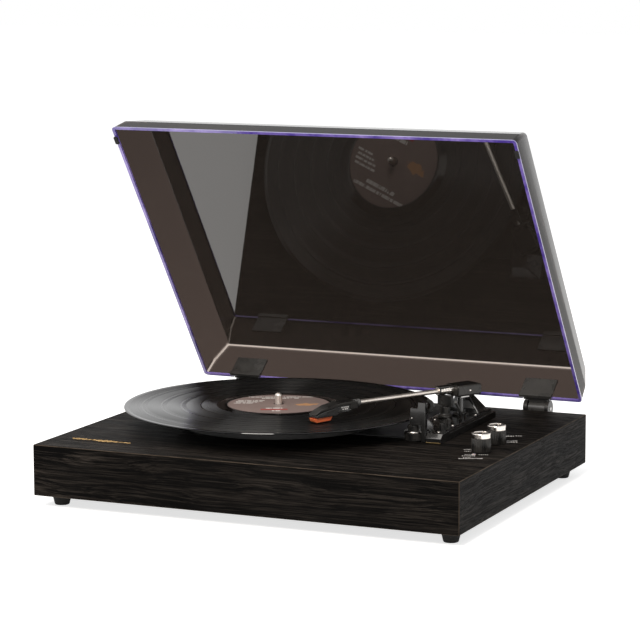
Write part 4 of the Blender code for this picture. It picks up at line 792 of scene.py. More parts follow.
def make_legends():
    """Rows of small pale print beside the knobs, as thin dashes of ink."""
    draw = random.Random(7)
    across = Matrix.Rotation(math.radians(24), 4, "Z")
    shapes = []
    boldness = 1.3
    rows = [(167, -39, 11, 1.7), (170.5, -46.5, 9, 1.5), (176.5, -61.5, 8, 1.3), (188.5, -56.5, 9, 1.3),
            (176.0, -67.5, 11, 1.6), (180, -74.5, 6, 1.8), (177.5, -80.0, 21, 1.9),
            (180.5, 37.0, 8, 2.6), (189, 41.5, 6, 1.7), (188.5, 14.5, 11, 2.1), (191.5, 9.5, 10, 2.1)]
    for x, y, length, tall in rows:
        spot = Matrix.Translation((x, y, 0)) @ across
        tall *= boldness
        at = 0.0
        while at < length:
            wide = draw.uniform(0.5, 1.3)
            dash = block((at * MM, -tall * MM / 2, TOP + 0.02 * MM),
                         ((at + wide) * MM, tall * MM / 2, TOP + 0.07 * MM))
            notch = draw.uniform(-0.3, 0.3) * tall
            bmesh.ops.translate(dash, vec=(0, notch * MM / 2, 0), verts=dash.verts)
            dash.transform(Matrix.Scale(0.001, 4) @ spot @ Matrix.Scale(1000, 4))
            shapes.append(dash)
            at += wide + draw.uniform(0.45, 0.95)
    piece("printed_legend", stacked(*shapes), "legend", body="plinth_body", level=False)


def make_back():
    low, high = span_of("jack_plate")
    plate = block(low, high, 0.6 * MM, 3, lambda e: abs(e.verts[0].co.y - high.y) < 1e-6 and
                  abs(e.verts[1].co.y - high.y) < 1e-6)
    jacks = [span_of(f"phono_jack_{side}") for side in ("left", "right")]
    middle = (low + high) / 2
    holes = []
    for first, last in jacks:
        holes.append(rod(4.5 * MM, low.y - 9 * MM, high.y + 9 * MM, axis="Y",
                         at=((first.x + last.x) / 2, 0, middle.z)))
    first, last = span_of("power_inlet")
    holes.append(block((first.x - GAP, low.y - 9 * MM, first.z - GAP),
                       (last.x + GAP, high.y + 9 * MM, last.z + GAP)))
    piece("connector_plate", cut(plate, *holes), "black_plastic", "jack_plate")
    for side, (a, b), colour in (("left", jacks[0], "white_plastic"), ("right", jacks[1], "red_plastic")):
        at = ((a.x + b.x) / 2, 0, middle.z)
        flange = high.y + GAP
        shell = [(0, a.y), (4.2 * MM, a.y), (4.2 * MM, flange), (5.8 * MM, flange),
                 (5.8 * MM, flange + 1.5 * MM), (4.2 * MM, flange + 1.5 * MM), (4.2 * MM, b.y),
                 (3.2 * MM, b.y), (3.2 * MM, b.y - 7 * MM), (0, b.y - 7 * MM)]
        barrel = turned(shell, 48, "Y", 0.15 * MM, at)
        core = turned([(1.7 * MM, b.y - 7.1 * MM), (3.0 * MM, b.y - 7.1 * MM), (3.0 * MM, b.y - 0.4 * MM),
                       (1.7 * MM, b.y - 0.4 * MM)], 40, "Y", 0.1 * MM, at)
        piece(f"jack_barrel_{side}", barrel, "steel", f"phono_jack_{side}")
        piece(f"jack_insert_{side}", core, colour, body="plinth_body")
    for x in (low.x + 4 * MM, high.x - 4 * MM):
        head = rod(2.2 * MM, high.y, high.y + 1.1 * MM, 32, "Y", 0.3 * MM, (x, 0, middle.z))
        slots = [block((x - 1.4 * MM, high.y + 0.6 * MM, middle.z - 0.3 * MM),
                       (x + 1.4 * MM, high.y + 2 * MM, middle.z + 0.3 * MM)),
                 block((x - 0.3 * MM, high.y + 0.6 * MM, middle.z - 1.4 * MM),
                       (x + 0.3 * MM, high.y + 2 * MM, middle.z + 1.4 * MM))]
        side = "left" if x < middle.x else "right"
        piece(f"plate_screw_{side}", cut(head, *slots), "steel", body="plinth_body")
    socket = block(first, last, 0.4 * MM, 2)
    at = ((first.x + last.x) / 2, 0, (first.z + last.z) / 2)
    socket = cut(socket, rod(3.1 * MM, last.y - 10 * MM, last.y + 9 * MM, 40, "Y", 0, at))
    pin = turned([(0, last.y - 9.8 * MM), (0.9 * MM, last.y - 9.8 * MM), (0.9 * MM, last.y - 1.2 * MM),
                  (0.4 * MM, last.y - 0.6 * MM), (0, last.y - 0.6 * MM)], 24, "Y", 0, at)
    piece("inlet_body", socket, "black_plastic", "power_inlet")
    piece("inlet_pin", pin, "chrome", body="plinth_body")


def make_arm_base():
    low, high = TOP + GAP, BASE_TOP
    right, left, front, back = 138.5 * MM, 97 * MM, -25.4 * MM, 122.5 * MM
    rest = middle_of("rest_drum")
    front_left = rest.x + REST_DRUM_RADIUS + 2 * GAP
    post_right = REST_LEFT + 15.2 * MM + GAP
    behind_rest = rest.y + 12.6 * MM
    post_back = REST_BACK + 2 * GAP
    outline = [(post_right, front), (right, front), (right, back), (left, back), (left, behind_rest),
               (front_left, behind_rest), (front_left, post_back), (post_right, post_back)]
    base = pulled(outline, low, high)
    hump_front = back - 29 * MM
    crest = bmesh.new()
    bottom = ((99 * MM, hump_front), (right - 5.5 * MM, back - 1.5 * MM))
    top = ((105 * MM, hump_front + 4 * MM), (right - 18 * MM, back - 13 * MM))
    bmesh.ops.create_cube(crest, size=1)
    for vert in crest.verts:
        level = top if vert.co.z > 0 else bottom
        x = level[1 if vert.co.x > 0 else 0][0]
        y = level[1 if vert.co.y > 0 else 0][1]
        vert.co = (x, y, high + 15.5 * MM if vert.co.z > 0 else high - 2 * MM)
    base = joined(base, rounded(crest, 1.2 * MM, 3))
    slope = [(front - 1 * MM, high - 4.9 * MM), (front + 5.4 * MM, high + 0.5 * MM),
             (front - 1 * MM, high + 0.5 * MM)]
    cuts = [pulled(slope, left, right + 1 * MM, "X"), block((right - 4.5 * MM, front + 21 * MM,
                                                             high - 2.2 * MM),
                                                            (right + 1 * MM, back + 1 * MM, high + 16 * MM))]
    for x, front_y, back_y in ((126.5, 3, 11), (124, 32, 37)):
        side = 2.3 * MM
        cuts.append(block((x * MM - side, front_y * MM - side, high - 5 * MM),
                          (x * MM + side, back_y * MM + side, high + 5 * MM)))
    base = eased(cut(base, *cuts), 0.35 * MM, 2)
    lever = middle_of("cue_lever")
    stand = block((lever.x - 3.5 * MM, LEVER_Y - 4 * MM, high - 0.5 * MM),
                  (lever.x + 3.5 * MM, LEVER_Y + 4 * MM, LEVER_AXLE + 3 * MM), 0.6 * MM, 3)
    stand = cut(stand, block((lever.x - 1.5 * MM, LEVER_Y - 6 * MM, high + GAP),
                             (lever.x + 1.5 * MM, LEVER_Y + 6 * MM, LEVER_AXLE + 6 * MM)),
                rod(1.3 * MM, lever.x - 6 * MM, lever.x + 6 * MM, 32, "X", 0, (0, LEVER_Y, LEVER_AXLE)))
    piece("moulded_base", stacked(base, stand), "gloss_black", "arm_base")

    # A bright strip along the base's foot at the front, and small screws in the deck.
    strip = block((post_right + 0.4 * MM, front - 0.35 * MM, low + 0.3 * MM),
                  (right - 0.4 * MM, front + 0.2 * MM, low + 1.0 * MM), 0.1 * MM, 2)
    piece("foot_strip", strip, "brass", body="plinth_body")
    shapes = []
    for x, y in ((104.5, 12), (131, 24), (104, 46), (131.5, 84), (131, -12)):
        head = rod(1.6 * MM, high - 0.3 * MM, high + 0.55 * MM, 32, soft=0.2 * MM, at=(x * MM, y * MM, 0))
        shapes.append(cut(head, block((x * MM - 1.2 * MM, y * MM - 0.2 * MM, high + 0.2 * MM),
                                      (x * MM + 1.2 * MM, y * MM + 0.2 * MM, high + 1 * MM))))
    piece("deck_screws", stacked(*shapes), "chrome", body="plinth_body")

    # The grey grip plate on the hump's front slope.
    plate = pulled([(113 * MM, high + 4.2 * MM), (127.2 * MM, high + 4.2 * MM),
                    (120.5 * MM, high + 11.6 * MM), (113.6 * MM, high + 11.6 * MM)], hump_front - 0.5 * MM,
                   hump_front + 0.4 * MM, "Y", 0.15 * MM)
    lean = math.atan2(4, 17.5)
    plate.transform(Matrix.Translation((0, hump_front, high - 2 * MM)) @ Matrix.Rotation(-lean, 4, "X")
                    @ Matrix.Translation((0, -hump_front, -high + 2 * MM)))
    piece("hump_grip", plate, "grip", body="plinth_body")

    for node in ("speed_selector", "auto_stop_switch"):
        first, last = span_of(node)
        middle = (first + last) / 2
        peg = turned([(0, first.z), (2 * MM, first.z), (2 * MM, last.z - 1.2 * MM),
                      (1.6 * MM, last.z - 0.3 * MM), (1.0 * MM, last.z), (0, last.z)], 48,
                     at=(middle.x, middle.y, 0))
        piece(f"{node}_peg", peg, "black_plastic", node)


def make_pivot():
    deck = BASE_TOP + GAP
    post_top = span_of("pivot_post")[1].z
    foot = span_of("pivot_post")[0].z
    at = (PIVOT.x, PIVOT.y, 0)
    post = [(0, deck), (8 * MM, deck), (8 * MM, deck + 1.2 * MM), (7.2 * MM, deck + 1.8 * MM),
            (4.4 * MM, deck + 2.4 * MM), (3.2 * MM, deck + 3.5 * MM), (2.5 * MM, post_top),
            (1.7 * MM, post_top), (1.7 * MM, foot + 4.7 * MM), (0, foot + 4.7 * MM)]
    piece("pivot_stand", turned(post, 64, soft=0.15 * MM, at=at), "gloss_black", "pivot_post")
    lift = middle_of("lift_cylinder")
    top = span_of("lift_cylinder")[1].z
    cylinder = [(0, deck), (7 * MM, deck), (7 * MM, deck + 2 * MM), (5.4 * MM, deck + 3.4 * MM),
                (5 * MM, deck + 4 * MM), (5 * MM, top), (2.8 * MM, top), (2.8 * MM, deck + 1.7 * MM),
                (0, deck + 1.7 * MM)]
    piece("lift_housing", turned(cylinder, 64, soft=0.25 * MM, at=(lift.x, lift.y, 0)), "black_plastic",
          "lift_cylinder")
    low, high = span_of("lift_bar")
    first, last = math.radians(-140), math.radians(-90)
    ring = arc(17.5 * MM, first, last, 36) + arc(23.5 * MM, last, first, 36)
    bar = eased(pulled(ring, high.z - 10 * MM, high.z), 0.5 * MM, 3)
    bmesh.ops.translate(bar, vec=(PIVOT.x, PIVOT.y, 0), verts=bar.verts)
    stem = rod(2.5 * MM, low.z, high.z - 9 * MM, 48, at=(lift.x, lift.y, 0))
    piece("lift_saddle", joined(bar, stem), "black_plastic", "lift_bar")

    lever_x = middle_of("cue_lever").x
    blade = block((-1 * MM, -1 * MM, -1.6 * MM), (1 * MM, 1 * MM, 21 * MM), 0.35 * MM, 3)
    tip = block((-1.3 * MM, -1.4 * MM, 19 * MM), (1.3 * MM, 1.4 * MM, 23 * MM), 0.5 * MM, 3)
    lever = joined(blade, tip, rod(1 * MM, -3.2 * MM, 3.2 * MM, 32, "X"))
    place = Matrix.Translation((lever_x, LEVER_Y, LEVER_AXLE)) @ Matrix.Rotation(math.radians(47), 4, "X")
    piece("cueing_lever", lever, "grey_plastic", "cue_lever", place=place)


def make_rest():
    top = TOP
    rest = middle_of("rest_drum")
    at = (rest.x, rest.y, 0)
    drum_top = top + 10 * MM
    ring_low = drum_top - 1.4 * MM
    drum = [(0, top + GAP), (8.6 * MM, top + GAP), (9.6 * MM, top + 1.5 * MM), (9.6 * MM, ring_low - GAP),
            (7.7 * MM, ring_low - GAP), (7.7 * MM, drum_top), (6.5 * MM, drum_top),
            (6.5 * MM, drum_top + 5 * MM), (5.5 * MM, drum_top + 6 * MM), (0, drum_top + 6 * MM)]
    piece("rest_stand", turned(drum, 96, soft=0.2 * MM, at=at), "gloss_black", "rest_drum")
    ring = [(8 * MM, ring_low), (9.6 * MM, ring_low), (9.6 * MM, drum_top - 0.6 * MM), (9.0 * MM, drum_top),
            (8 * MM, drum_top)]
    piece("rest_trim", turned(ring, 96, soft=0.12 * MM, at=at), "chrome", "rest_ring")
    left = REST_LEFT
    seat_right = left + 7.8 * MM
    right = seat_right + 7.4 * MM
    leg_left = rest.x + REST_DRUM_RADIUS + 2 * GAP
    seat = ARM_AXIS - TUBE_RADIUS - 1.5 * GAP
    post_top = top + 38.5 * MM
    outline = [(left, drum_top + 6 * MM + GAP), (leg_left, drum_top + 6 * MM + GAP),
               (leg_left, top + 2 * GAP), (right, top + 2 * GAP), (right, post_top), (seat_right, post_top),
               (seat_right, seat), (left, seat)]
    pin_x, pin_z = seat_right + 1.5 * MM, top + 25.3 * MM
    bracket = pulled(outline, REST_FRONT, REST_BACK, "Y", 0.45 * MM, 3)
    bracket = joined(bracket, rod(1 * MM, -22 * MM, -16.6 * MM, 32, "Y", 0, (pin_x, 0, pin_z)))
    piece("rest_post", bracket, "gloss_black", "rest_bracket")
    dot = turned([(0, -26.35 * MM), (0.55 * MM, -26.35 * MM), (0.75 * MM, -26.1 * MM),
                  (0.75 * MM, -25.8 * MM), (0, -25.8 * MM)], 24, "Y", 0, (109.3 * MM, 0, top + 23 * MM))
    piece("rest_screw", dot, "chrome", body="plinth_body")

    inner, outer = TUBE_RADIUS + 0.7 * MM, TUBE_RADIUS + 3.9 * MM
    over, under = math.radians(150), math.radians(-25)
    tube = (left + 7.8 * MM - TUBE_RADIUS - 1.5 * GAP - pin_x, 10.2 * MM)
    hook = arc(outer, under, over, 28, tube) + arc(inner, over, under, 28, tube)
    boss = arc(2.6 * MM, math.radians(150), math.radians(390), 28)
    clip = pulled(boss + hook, GAP, GAP + 2.4 * MM, "Y", 0.25 * MM, 2)
    clip = cut(clip, rod(1.3 * MM, -1 * MM, 4 * MM, 32, "Y"))
    place = Matrix.Translation((pin_x, REST_BACK, pin_z)) @ Matrix.Rotation(math.radians(55), 4, "Y")
    piece("rest_hook", clip, "black_plastic", "rest_clip", place=place)


def make_arm():
    """The yoke, housing, collar and tube, drawn along -Y from the tilt pin."""
    yoke_low = -8.9 * MM
    yoke = block((-5.5 * MM, -3.5 * MM, yoke_low), (5.5 * MM, PIN_BEHIND + 3 * MM, 1 * MM), 0.5 * MM, 3)
    yoke = cut(yoke, block((-3.5 * MM, -7 * MM, yoke_low + 2.5 * MM),
                           (3.5 * MM, PIN_BEHIND + 4 * MM, 7 * MM)),
               rod(1.3 * MM, -9 * MM, 9 * MM, 32, "X", 0, (0, PIN_BEHIND, -PIN_DROP)))
    yoke = joined(yoke, rod(1.4 * MM, yoke_low - 12 * MM, yoke_low + 1 * MM, 32))
    piece("pivot_yoke", yoke, "steel", "swing_yoke", place=SWING)
    pin = rod(1.0 * MM, -10.8 * MM, 10.8 * MM, 32, "X", 0.25 * MM, (0, PIN_BEHIND, -PIN_DROP))
    piece("pivot_pin", pin, "chrome", "tilt_pin", place=SWING)

    half_length, half_width = 15 * MM, 10.5 * MM
    rise, drop = 4.4 * MM, 6.6 * MM
    shell = block((-half_width, -half_length, -drop), (half_width, half_length, rise), 2 * MM, 5)
    collar_back = -half_length - GAP
    collar_length = 17.5 * MM
    collar_front = collar_back - collar_length
    hood = [(1 * MM - half_length, 2.9 * MM), (1 * MM - half_length, rise - 0.3 * MM),
            (-half_length - 3 * MM, 4.3 * MM), (collar_front, 4.6 * MM), (collar_front, 2.9 * MM)]
    shell = joined(shell, pulled(hood, -4 * MM, 4 * MM, "X", 0.3 * MM, 3))
    over_collar = [(0, collar_front - 1 * MM), (3.9 * MM, collar_front - 1 * MM), (3.9 * MM, collar_front),
                   (4.5 * MM, -half_length), (0, -half_length)]
    shell = cut(shell, turned(over_collar, 64, "Y"),
                block((-half_width + 3.5 * MM, -half_length + 3.5 * MM, -drop - 5 * MM),
                      (half_width - 3.5 * MM, half_length - 3.5 * MM, rise - 2.4 * MM)),
                rod(1.3 * MM, -21 * MM, 21 * MM, 32, "X", 0, (0, 0, -PIN_DROP)),
                rod(2.7 * MM, -30 * MM, -7.5 * MM, 48, "Y"))
    piece("bearing_shell", shell, "black_plastic", "arm_housing", place=ARM)
    tube = [(0, -134 * MM), (TUBE_RADIUS, -134 * MM), (TUBE_RADIUS, -half_length + 2.5 * MM),
            (0, -half_length + 2.5 * MM)]
    piece("tonearm_tube", turned(tube, 64, "Y", 0.3 * MM), "satin_chrome", "arm_tube", place=ARM)
    collar = [(2.7 * MM, collar_front), (3.6 * MM, collar_front)]
    for i in range(3):
        y = collar_front + (5 + 3.2 * i) * MM
        radius = 3.6 * MM + 0.6 * MM * (y - collar_front) / collar_length
        collar += [(radius, y - 0.5 * MM), (radius - 0.25 * MM, y - 0.25 * MM),
                   (radius - 0.25 * MM, y + 0.25 * MM), (radius, y + 0.5 * MM)]
    collar += [(4.2 * MM, collar_back), (2.7 * MM, collar_back)]
    piece("tonearm_collar", turned(collar, 64, "Y", 0.08 * MM), "chrome", "arm_collar", place=ARM)
    band = [(3.63 * MM, collar_front + 0.2 * MM), (4.35 * MM, collar_front + 0.2 * MM),
            (4.35 * MM, collar_front + 1.6 * MM), (3.67 * MM, collar_front + 1.6 * MM)]
    piece("collar_band", turned(band, 64, "Y", 0.1 * MM), "gloss_black", body="tonearm", place=ARM)
    sleeve = [(2.7 * MM, -134.7 * MM), (3.5 * MM, -134.7 * MM), (3.5 * MM, -133.4 * MM),
              (3.2 * MM, -133.1 * MM), (3.2 * MM, -130.6 * MM), (3.5 * MM, -130.3 * MM),
              (3.5 * MM, -128.7 * MM), (2.7 * MM, -128.7 * MM)]
    piece("head_sleeve", turned(sleeve, 64, "Y", 0.08 * MM), "grey_plastic", "headshell_joint", place=ARM)


def make_head():
    """Headshell, cartridge, leads and stylus, drawn from the side as (distance from the pin, height)."""
    def side(points):
        return [(-distance * MM, height * MM) for distance, height in points]

    back, tip, contact = HEADSHELL_BACK, HEADSHELL_TIP, STYLUS_REACH
    record = -14.5
    shell = [(back, -4.2), (back, 2.4), (back + 5, 3.4), (back + 13, 3.25), (back + 21, 2.8),
             (back + 33, 0.9), (tip - 6.5, -1.7), (tip, -5.4), (tip - 0.5, -6.4), (tip - 7, -3.9),
             (back + 21, 0.3), (back + 9, 0.3), (back + 9, -4.2)]
    body = pulled(side(shell), -7 * MM, 7 * MM, "X")
    for vert in body.verts:
        if -vert.co.y > (tip - 8) * MM:
            vert.co.x *= 0.72
    body = rounded(body, 0.6 * MM, 3)
    slots = [block((x - 0.8 * MM, -(back + 22) * MM, -1 * MM), (x + 0.8 * MM, -(back + 12) * MM, 6 * MM))
             for x in (-4 * MM, 4 * MM)]
    piece("head_carrier", cut(body, *slots), "black_plastic", "headshell", place=ARM)
    cartridge = [(back + 9.5, -6.2), (back + 9.5, -0.1), (back + 21, -0.1), (tip - 7.2, -4.3),
                 (tip - 1.2, -6.8), (tip - 1.6, -8.8), (back + 24, -8.4), (back + 22, -6.2)]
    piece("pickup", pulled(side(cartridge), -5.75 * MM, 5.75 * MM, "X", 0.35 * MM, 3), "gloss_black",
          "cartridge", place=ARM)
    holder = [(contact - 19, -8.9), (contact + 2.5, -9.3), (contact + 1.6, record + 2.6),
              (contact, record + 1.2), (contact - 16, record + 1.8)]
    body = pulled(side(holder), -4.25 * MM, 4.25 * MM, "X", 0.35 * MM, 3)
    needle = [(0, record * MM), (0.18 * MM, (record + 0.25) * MM), (0.35 * MM, (record + 0.6) * MM),
              (0.35 * MM, (record + 3) * MM), (0, (record + 3) * MM)]
    needle = turned(needle, 24, at=(0, -contact * MM + 2 * MM, GAP / 3))
    piece("stylus_holder", joined(body, needle), "orange", "stylus", place=ARM)
    print_marks = []
    for height, starts in ((-1.5, (10.6, 13.0, 15.2, 17.6)), (-3.3, (11.4, 13.4, 16.2))):
        for start in starts:
            print_marks.append(block((5.75 * MM, -(back + start + 1.6) * MM, (height - 0.4) * MM),
                                     (5.83 * MM, -(back + start) * MM, (height + 0.4) * MM)))
    piece("pickup_print", stacked(*print_marks), "legend", body="tonearm", place=ARM, level=False)
    leads = []
    for i, x in enumerate((-3.3, -1.1, 1.1, 3.3)):
        points = [(back + 4.2, -3.2), (back + 6.4, -4.6 - 0.25 * i), (back + 8.0, -4.4),
                  (back + 9.6, -3.6 + 0.2 * i)]
        bm = bmesh.new()
        section = [bm.verts.new((x * MM + 0.32 * MM * math.cos(a), -points[0][0] * MM,
                                 points[0][1] * MM + 0.32 * MM * math.sin(a)))
                   for a in (math.tau * k / 10 for k in range(10))]
        end = bm.faces.new(section)
        for (y, z), (next_y, next_z) in zip(points, points[1:]):
            grown = bmesh.ops.extrude_face_region(bm, geom=[end])
            bmesh.ops.delete(bm, geom=[end], context="FACES_ONLY")
            end = next(item for item in grown["geom"] if isinstance(item, bmesh.types.BMFace))
            bmesh.ops.translate(bm, vec=(0, -(next_y - y) * MM, (next_z - z) * MM), verts=end.verts)
        bm.faces.new(section)
        leads.append(bm)
    piece("pickup_leads", stacked(*leads), "white_plastic", body="tonearm", place=ARM, level=False)


def make_cover():
    """The cover's shell: a tapered box in two storeys, hollowed, cut flat at the rim and let in for
    the hinges. Its top panel is dark smoke, its walls are tinted lighter as a painted sheen, its
    folds carry a painted highlight, and its rim is painted violet as a glowing line of light."""
    def section(bm, side, fore, height):
        half = LID_WIDTH / 2 - side
        front = LID_REAR - LID_DEPTH + fore
        z = LID_RIM + height
        return [bm.verts.new(p) for p in ((-half, front, z), (half, front, z), (half, LID_REAR, z),
                                          (-half, LID_REAR, z))]

    bm = bmesh.new()
    below = -3 * MM
    rings = [section(bm, -1.5 * MM * -below / LID_CREASE, -9 * MM * -below / LID_CREASE, below),
             section(bm, 1.5 * MM, 9 * MM, LID_CREASE), section(bm, 9 * MM, 30 * MM, LID_HEIGHT)]
    for first, second in zip(rings, rings[1:]):
        for i in range(4):
            j = (i + 1) % 4
            bm.faces.new((first[i], first[j], second[j], second[i]))
    bm.faces.new(rings[-1])
    crease = LID_RIM + LID_CREASE

    def is_corner(edge):
        heights = [vert.co.z for vert in edge.verts]
        return max(heights) - min(heights) > MM or min(heights) > crease + MM

    bmesh.ops.recalc_face_normals(bm, faces=bm.faces)
    rounded(bm, 4 * MM, 6, is_corner)
    folds = [e for e in bm.edges if len(e.link_faces) == 2 and
             all(abs(v.co.z - crease) < MM / 5 for v in e.verts)]
    rounded(bm, 1.2 * MM, 3, lambda e: e in set(folds))
    obj = bpy.data.objects.new("work", as_mesh(bm, "work"))
    bpy.context.scene.collection.objects.link(obj)
    wall = obj.modifiers.new("wall", "SOLIDIFY")
    wall.thickness = LID_WALL
    wall.offset = -1
    wall.use_even_offset = True
    shown = obj.evaluated_get(bpy.context.evaluated_depsgraph_get())
    shell = bmesh.new()
    shell.from_mesh(shown.to_mesh())
    shown.to_mesh_clear()
    bpy.data.objects.remove(obj)
    wide = LID_WIDTH + LID_DEPTH
    tools = [block((-wide, -wide, -wide), (wide, wide, LID_RIM))]
    notch_half = LEAF_ARM_HALF + 2 * GAP
    for x in (-HINGE_X, HINGE_X):
        tools.append(block((x - notch_half, LID_REAR - LID_WALL - 1 * MM, LID_RIM - 1 * MM),
                           (x + notch_half, LID_REAR + 1 * MM, LID_RIM + 5.5 * MM + 2 * GAP)))
    shell = cut(shell, *tools)
    glow_height = LID_RIM + 2.0 * MM
    bmesh.ops.bisect_plane(shell, geom=shell.verts[:] + shell.edges[:] + shell.faces[:], dist=1e-6,
                           plane_co=(0, 0, glow_height), plane_no=(0, 0, 1))
    shell.normal_update()
    inner_top = LID_RIM + LID_HEIGHT - LID_WALL
    for face in shell.faces:
        middle = face.calc_center_median()
        if abs(face.normal.z) > 0.9 and middle.z > inner_top - 0.1 * MM:
            face.material_index = 0
        elif middle.z < glow_height or (face.normal.z < -0.9 and middle.z < LID_RIM + 7 * MM):
            face.material_index = 2
        # the rear fold and the rear corners take the painted fold highlight
        elif middle.y > LID_REAR - 6 * MM and middle.z > inner_top - 5 * MM and face.calc_area() < 6e-4:
            face.material_index = 3
        elif (middle.y > LID_REAR - 8 * MM and abs(middle.x) > LID_WIDTH / 2 - 14 * MM
              and face.calc_area() < 1.2e-4):
            face.material_index = 3
        else:
            face.material_index = 1
    piece("smoked_cover", shell, "smoked_acrylic", "dust_cover", place=LID,
          more=("painted_sheen_smoke", "violet_rim", "painted_fold_highlight"))


def make_hinges():
    face = LID_REAR - LID_WALL - GAP
    inside = face - 2.6 * MM
    foot = LID_RIM - 1.8 * MM
    arm_low, arm_high = LID_RIM + 0.5 * MM, LID_RIM + 5.5 * MM
    for name, x in (("left", -HINGE_X), ("right", HINGE_X)):
        half, arm_half = LEAF_HALF, LEAF_ARM_HALF
        leaf = block((x - half, inside, foot), (x + half, face, LID_RIM + 24 * MM), 0.8 * MM, 3)
        leaf = joined(leaf, block((x - half, inside - 1.2 * MM, foot),
                                  (x + half, face - 1 * MM, LID_RIM + 3 * MM), 0.5 * MM, 2),
                      block((x - arm_half, inside + 1 * MM, arm_low), (x + arm_half, -9.5 * MM, arm_high)),
                      block((x - 9 * MM, -11.5 * MM, arm_low), (x + 9 * MM, 0, arm_high)),
                      rod(6 * MM, x - 9 * MM, x + 9 * MM, 48, "X", 0.4 * MM))
        leaf = cut(leaf, rod(2.3 * MM, x - 18 * MM, x + 18 * MM, 32, "X"))
        piece(f"hinge_plate_{name}", leaf, "hinge_black_painted_highlights", f"hinge_leaf_{name}", place=LID)
        low = span_of(f"hinge_socket_{name}")[0]
        plate = block((x - half, BACK + GAP, low.z), (x + half, BACK + 2.7 * MM, TOP - 1 * MM), 0.8 * MM, 3)
        axis_y, axis_z = HINGE_LINE.y, HINGE_LINE.z
        ears = []
        for side in (-1, 1):
            near, far = sorted((x + side * 9.3 * MM, x + side * 13.3 * MM))
            ears += [block((near, BACK + GAP + 1 * MM, axis_z - 13.6 * MM), (far, axis_y, axis_z)),
                     rod(8.5 * MM, near, far, 64, "X", 0.5 * MM, (0, axis_y, axis_z))]
        socket = cut(joined(plate, *ears), rod(2.3 * MM, x - 34 * MM, x + 34 * MM, 32, "X", 0,
                                               (0, axis_y, axis_z)))
        piece(f"hinge_bracket_{name}", socket, "black_plastic", f"hinge_socket_{name}")
        pin = rod(2 * MM, x - 13.8 * MM, x + 13.8 * MM, 40, "X", 0.3 * MM, (0, axis_y, axis_z))
        piece(f"hinge_axle_{name}", pin, "steel", f"hinge_pin_{name}")
        heads = []
        for side in (-1, 1):
            spot = (x + side * 10.5 * MM, 0, axis_z - 24 * MM)
            head = rod(2.3 * MM, BACK + 2.5 * MM, BACK + 3.7 * MM, 32, "Y", 0.3 * MM, spot)
            heads.append(cut(head, block((spot[0] - 1.5 * MM, BACK + 3.2 * MM, spot[2] - 0.3 * MM),
                                         (spot[0] + 1.5 * MM, BACK + 5 * MM, spot[2] + 0.3 * MM))))
        piece(f"hinge_screws_{name}", stacked(*heads), "steel", body="plinth_body")
        low_y = LID_REAR - LID_DEPTH + 12 * MM
        pad_x = math.copysign(LID_WIDTH / 2 - LID_WALL / 2, x)
        pad = block((pad_x - 2 * MM, low_y, -0.7 * MM), (pad_x + 2 * MM, low_y + 8.5 * MM, LID_RIM - GAP),
                    0.5 * MM, 3)
        piece(f"rim_pad_{name}", pad, "rubber", f"cover_bumper_{name}", place=LID)


def dress_hidden_pieces():
    """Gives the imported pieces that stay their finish: drive, board, controls and bottom cover."""
    slot_of = {part["node"]: part["material_slot"] for part in frame["record"]["subparts"]}
    for name, obj in frame["nodes"].items():
        if not obj.hide_render:
            look = LOOKS[slot_of[name]]
            for slot in obj.material_slots:
                slot.material = look


# Studio ------------------------------------------------------------------------------------------

def background_rays(tree):
    """1 for the rays that see the plain background: the camera's, mirrored ones and those through glass."""
    path = put(tree, "LightPath").outputs
    seen = sums(tree, "MAXIMUM", path["Is Camera Ray"], path["Is Glossy Ray"])
    return sums(tree, "MAXIMUM", seen, path["Is Transmission Ray"])


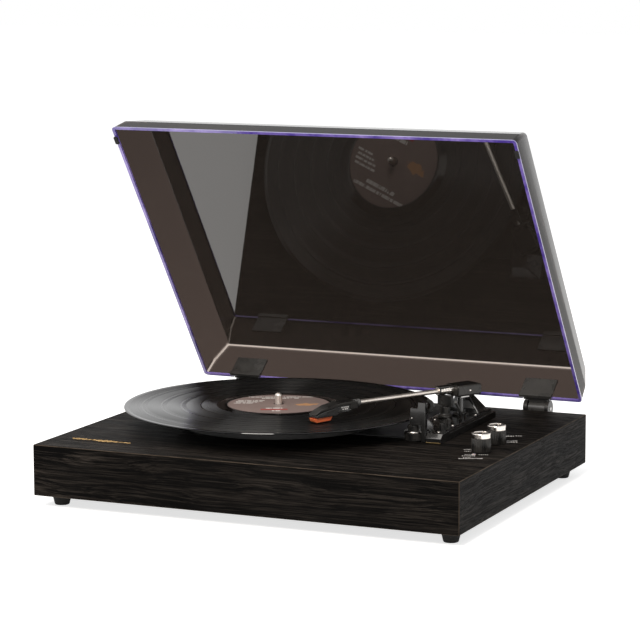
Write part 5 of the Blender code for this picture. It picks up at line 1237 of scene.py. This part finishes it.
def make_studio():
    scene = bpy.context.scene
    scene.view_settings.view_transform = "Standard"
    world = bpy.data.worlds.new("studio")
    scene.world = world
    world.use_nodes = True
    tree = world.node_tree
    tree.nodes.clear()
    strength = sums(tree, "MAXIMUM", background_rays(tree), 0.42)
    light = put(tree, "Background", {"Color": (1, 1, 1, 1), "Strength": strength})
    out = tree.nodes.new("ShaderNodeOutputWorld")
    tree.links.new(light.outputs[0], out.inputs["Surface"])

    bm = bmesh.new()
    bmesh.ops.create_grid(bm, x_segments=8, y_segments=8, size=9)
    floor = bpy.data.objects.new("floor", as_mesh(bm, "floor"))
    scene.collection.objects.link(floor)
    material = bpy.data.materials.new("floor_white")
    material.use_nodes = True
    tree = material.node_tree
    shader = tree.nodes["Principled BSDF"]
    shader.inputs["Base Color"].default_value = (0.86, 0.86, 0.86, 1)
    shader.inputs["Roughness"].default_value = 0.9
    shader.inputs["Specular IOR Level"].default_value = 0
    glow = put(tree, "Emission", {"Color": (1, 1, 1, 1),
                                  "Strength": sums(tree, "MULTIPLY", background_rays(tree), 0.70)})
    both = put(tree, "AddShader", {0: shader.outputs[0], 1: glow.outputs[0]})
    tree.links.new(both.outputs[0], tree.nodes["Material Output"].inputs["Surface"])
    floor.data.materials.append(material)

    for name, place, size, power in (("front", (0.18, -1.50, 1.35), 0.7, 26),
                                     ("overhead", (-0.75, 0.15, 2.6), 1.5, 22)):
        lamp = bpy.data.lights.new(name, "AREA")
        lamp.size = size
        lamp.energy = power
        lamp.color = (1.0, 0.95, 0.89)
        obj = bpy.data.objects.new(name, lamp)
        obj.location = place
        obj.rotation_euler = (Vector(place) - Vector((0, 0, 0.08))).to_track_quat("Z", "Y").to_euler()
        obj.visible_camera = False
        scene.collection.objects.link(obj)


def make_camera():
    place = Vector((1.05789, -2.38747, 0.56060))
    right = Vector((0.913638, 0.406516, -0.003236))
    up = Vector((-0.058081, 0.138407, 0.988671))
    behind = Vector((0.402359, -0.903099, 0.150065))
    camera = bpy.data.cameras.new("camera")
    camera.lens = 153.30
    camera.sensor_width = 36
    camera.clip_end = 50
    obj = bpy.data.objects.new("camera", camera)
    turn = Matrix((right, up, behind)).transposed().to_4x4()
    obj.matrix_world = Matrix.Translation(place) @ turn
    bpy.context.scene.collection.objects.link(obj)
    bpy.context.scene.camera = obj


make_plinth()
make_ornament()
make_platter()
make_knobs()
make_legends()
make_back()
make_arm_base()
make_pivot()
make_rest()
make_arm()
make_head()
make_cover()
make_hinges()
dress_hidden_pieces()
make_studio()
make_camera()
